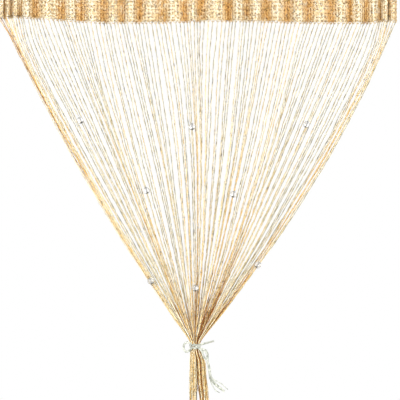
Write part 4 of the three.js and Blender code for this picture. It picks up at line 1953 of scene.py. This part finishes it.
    def build(self) -> None:
        """Builds the tie, with its knot of three humps over each other, and its two loose ends."""
        store = MeshStore()
        for turn in self.turns:
            self.winding(store, turn)
        front = np.array([0, -(self.bundle_radius + self.hump_gap), 0])
        for hump in self.humps:
            path = smooth_route(np.array(hump.route) + front, self.hump.points)
            self.ribbon(store, path, hump.width, self.hump, hump.phase)
        for loop in self.loops:
            path = smooth_route(loop.route, self.loop.points)
            self.ribbon(store, path, loop.width, self.loop, loop.phase, np.array(self.loop_facing))
        settle(store.build("ribbon_tie", self.finish, Shade.SMOOTH), Slot.RIBBON, "tie")
        strips = self.frayed()
        self.loose_end("ribbon_end_upper", "tie_end_upper", self.upper_end)
        self.loose_end("ribbon_end_lower", "tie_end_lower", self.lower_end)
        LOG.info("tie: %d turns, a knot, two loops and two ends", len(self.turns))


# The studio


@dataclass(frozen=True)
class Lamp:
    """One square area light: its name, its place, what it looks at, its side in metres and its power."""

    name: str
    place: tuple[float, float, float]
    target: tuple[float, float, float]
    size: float
    power: float


@dataclass
class Studio:
    """The white studio: camera, lights, world and floor.

    Attributes:
        frame_pixels: The photo's width.
        pixel: A pixel's size on the curtain, in millimetres.
        middle_pixel: The photo's middle, across and down.
        origin_pixel: The column in which X is 0.
        top_margin: From the curtain's top edge down to the photo's, in millimetres.
        distance: From the camera to the curtain, in metres.
        sensor: The sensor's width, in millimetres.
        far_clip: How far the camera sees, in metres.
        room_height: Where the room goes from its middle colour to that of its ceiling and floor.
        room_depth: Where it goes from its front colour to the others.
        floor_drop: From the strings' tips down to the floor.
    """

    frame_pixels: float = 400
    pixel: float = 1.64
    middle_pixel: tuple[float, float] = (200, 200)
    origin_pixel: float = 197.5
    top_margin: float = 9
    distance: float = 2.6
    sensor: float = 36
    far_clip: float = 50
    lamps: tuple[Lamp, ...] = (
        Lamp("key_light", (-0.7, -2.4, 0.4), (0, 0, -0.35), 0.9, 61),
        Lamp("fill_light", (1.6, -1.9, -0.3), (0, 0, -0.35), 1.0, 34),
        Lamp("back_light", (0.6, 1.8, 0.5), (0, 0, -0.4), 1.2, 14),
    )
    room_middle: Colour = colour(1.0, 0.99, 0.97)
    room_ends: Colour = colour(0.5, 0.48, 0.45)
    room_front: Colour = colour(0.6, 0.58, 0.55)
    room_height: tuple[float, float] = (0.2, 0.8)
    room_depth: tuple[float, float] = (-0.5, 0.3)
    room_strength: float = 1.1
    floor_drop: float = 0.04
    floor_size: float = 16
    floor_dark: Colour = colour(0.8, 0.79, 0.77)
    floor_pale: Colour = colour(0.86, 0.85, 0.83)
    floor_roughness: float = 0.7
    floor_grain: float = 30
    grain_detail: float = 3

    def camera(self) -> None:
        """Adds the camera at the photo's straight-on view."""
        data = bpy.data.cameras.new("camera")
        width = self.frame_pixels * self.pixel * MM
        data.sensor_fit = "HORIZONTAL"
        data.sensor_width = self.sensor
        data.lens = self.sensor * self.distance / width
        data.clip_end = self.far_clip
        camera = bpy.data.objects.new("camera", data)
        bpy.context.scene.collection.objects.link(camera)
        x = (self.middle_pixel[0] - self.origin_pixel) * self.pixel * MM
        z = -(self.top_margin + self.middle_pixel[1] * self.pixel) * MM
        camera.location = (x, -self.distance, z)
        camera.rotation_euler = (math.pi / 2, 0, 0)
        bpy.context.scene.camera = camera

    def light(self, lamp: Lamp) -> None:
        """Adds one light.

        Args:
            lamp: Its sizes.
        """
        data = bpy.data.lights.new(lamp.name, "AREA")
        data.size = lamp.size
        data.energy = lamp.power
        light = bpy.data.objects.new(lamp.name, data)
        bpy.context.scene.collection.objects.link(light)
        light.location = lamp.place
        towards = Vector(lamp.target) - Vector(lamp.place)
        light.rotation_euler = towards.to_track_quat("-Z", "Y").to_euler()

    def world(self) -> None:
        """White behind the curtain, and for the light a bright room with a greyer ceiling and floor."""
        world = bpy.data.worlds.new("studio_white")
        bpy.context.scene.world = world
        world.use_nodes = True
        shader = Shader(world.node_tree)
        tree = world.node_tree
        back = tree.nodes["Background"]
        room = shader.node("Background")
        direction = shader.node("SeparateXYZ")
        shader.put(direction.inputs[0], shader.node("TexCoord").outputs["Generated"])
        height = shader.math("ABSOLUTE", direction.outputs[2])
        bright = shader.mix(shader.ramp(height, *self.room_height), self.room_middle, self.room_ends)
        deep = shader.ramp(direction.outputs[1], *self.room_depth)
        shader.put(room.inputs["Color"], shader.mix(deep, self.room_front, bright))
        room.inputs["Strength"].default_value = self.room_strength
        back.inputs["Color"].default_value = colour(1, 1, 1)
        back.inputs["Strength"].default_value = 1.0
        choose = shader.node("MixShader")
        shader.put(choose.inputs[0], shader.node("LightPath").outputs["Is Camera Ray"])
        shader.put(choose.inputs[1], room.outputs[0])
        shader.put(choose.inputs[2], back.outputs[0])
        shader.put(tree.nodes["World Output"].inputs[0], choose.outputs[0])

    def floor(self) -> None:
        """Adds the pale floor just under the strings' tips."""
        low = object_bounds()[0][2] - self.floor_drop
        half = self.floor_size / 2
        mesh = bpy.data.meshes.new("floor")
        corners = [(-half, -half, low), (half, -half, low), (half, half, low), (-half, half, low)]
        mesh.from_pydata(corners, [], [(0, 1, 2, 3)])
        material, shader, bsdf = new_material("pale_floor")
        grain = shader.noise(shader.place(), self.floor_grain, self.grain_detail)
        shader.put(bsdf.inputs["Base Color"], shader.mix(grain, self.floor_dark, self.floor_pale))
        bsdf.inputs["Roughness"].default_value = self.floor_roughness
        mesh.materials.append(material)
        floor = bpy.data.objects.new("floor", mesh)
        bpy.context.scene.collection.objects.link(floor)
        floor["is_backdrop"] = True

    def build(self) -> None:
        """Sets the whole studio up."""
        bpy.context.scene.view_settings.view_transform = "Standard"
        self.world()
        self.floor()
        for lamp in self.lamps:
            self.light(lamp)


def main() -> None:
    """Builds the curtain's pieces in order."""
    logging.basicConfig(level=logging.INFO, format="%(name)s %(message)s")
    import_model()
    studio = Studio()
    studio.camera()
    glints = TinselGlints().build()
    # The string tints paint light by crowding: shade and dark brown are painted shade, cream is partly
    # painted light, and the white sparks are painted highlights.
    string_yarn = TinselFinish(
        "gold_tinsel_string", dark=colour(0.28, 0.17, 0.05), gold=colour(1.0, 0.75, 0.31),
        pale=colour(1.0, 0.88, 0.5), white=colour(1.0, 0.99, 0.9), dark_share=0.32, speck_scale=380,
        white_share=0.55, fleck_share=0.64, cream=colour(1.0, 0.97, 0.8), metallic=0.2,
        tints=(("sparse", colour(0.34, 0.37, 0.39)), ("shade", colour(0.74, 0.5, 0.15)),
               ("umber_shade", colour(0.32, 0.15, 0.04)))).build(glints)
    # The filaments' brown tint is the painted shadow of their strings.
    filament = TinselFinish(
        "lurex_filament", dark=colour(0.46, 0.33, 0.12), gold=colour(1.0, 0.82, 0.42),
        pale=colour(1.0, 0.92, 0.62), white=colour(1.0, 1.0, 0.94), dark_share=0.34, speck_scale=300,
        metallic=0.2, tints=(("umber_shade", colour(0.5, 0.28, 0.09)),)).build(glints)
    # The knit's recess tint is painted shade in its folds; its white sparks are painted highlights.
    heading_yarn = TinselFinish(
        "gold_knit_yarn", dark=colour(0.34, 0.2, 0.05), gold=colour(0.74, 0.56, 0.28),
        pale=colour(0.76, 0.68, 0.48), white=colour(0.9, 0.88, 0.78), dark_share=0.42, white_share=0.52,
        fleck_share=0.63, speck_scale=340, relief=0.3, patch_scale=75,
        tints=(("recess", colour(0.86, 0.62, 0.3)),)).build(glints)
    # The bed's dark colours are painted shade, seen through the net's holes; its recess tint is painted shade
    # as well.
    shaded_bed_yarn = TinselFinish(
        "gold_knit_bed_shaded", dark=colour(0.14, 0.07, 0.015), gold=colour(0.44, 0.29, 0.1),
        pale=colour(0.54, 0.4, 0.2), white=colour(0.8, 0.68, 0.44), metallic=0.0, dark_share=0.46,
        tints=(("recess", colour(0.86, 0.62, 0.32)),)).build(glints)
    folds = HeadingFolds()
    runs = StringRuns(folds)
    heading = Heading(folds, heading_yarn, shaded_bed_yarn)
    heading.build()
    Strings(runs, heading, string_yarn, filament).build()
    Beads(runs, BeadFinish().build()).build()
    RibbonTie(runs, RibbonFinish().build()).build()
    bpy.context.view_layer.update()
    studio.build()
    LOG.info("done")


if __name__ == "__main__":
    main()
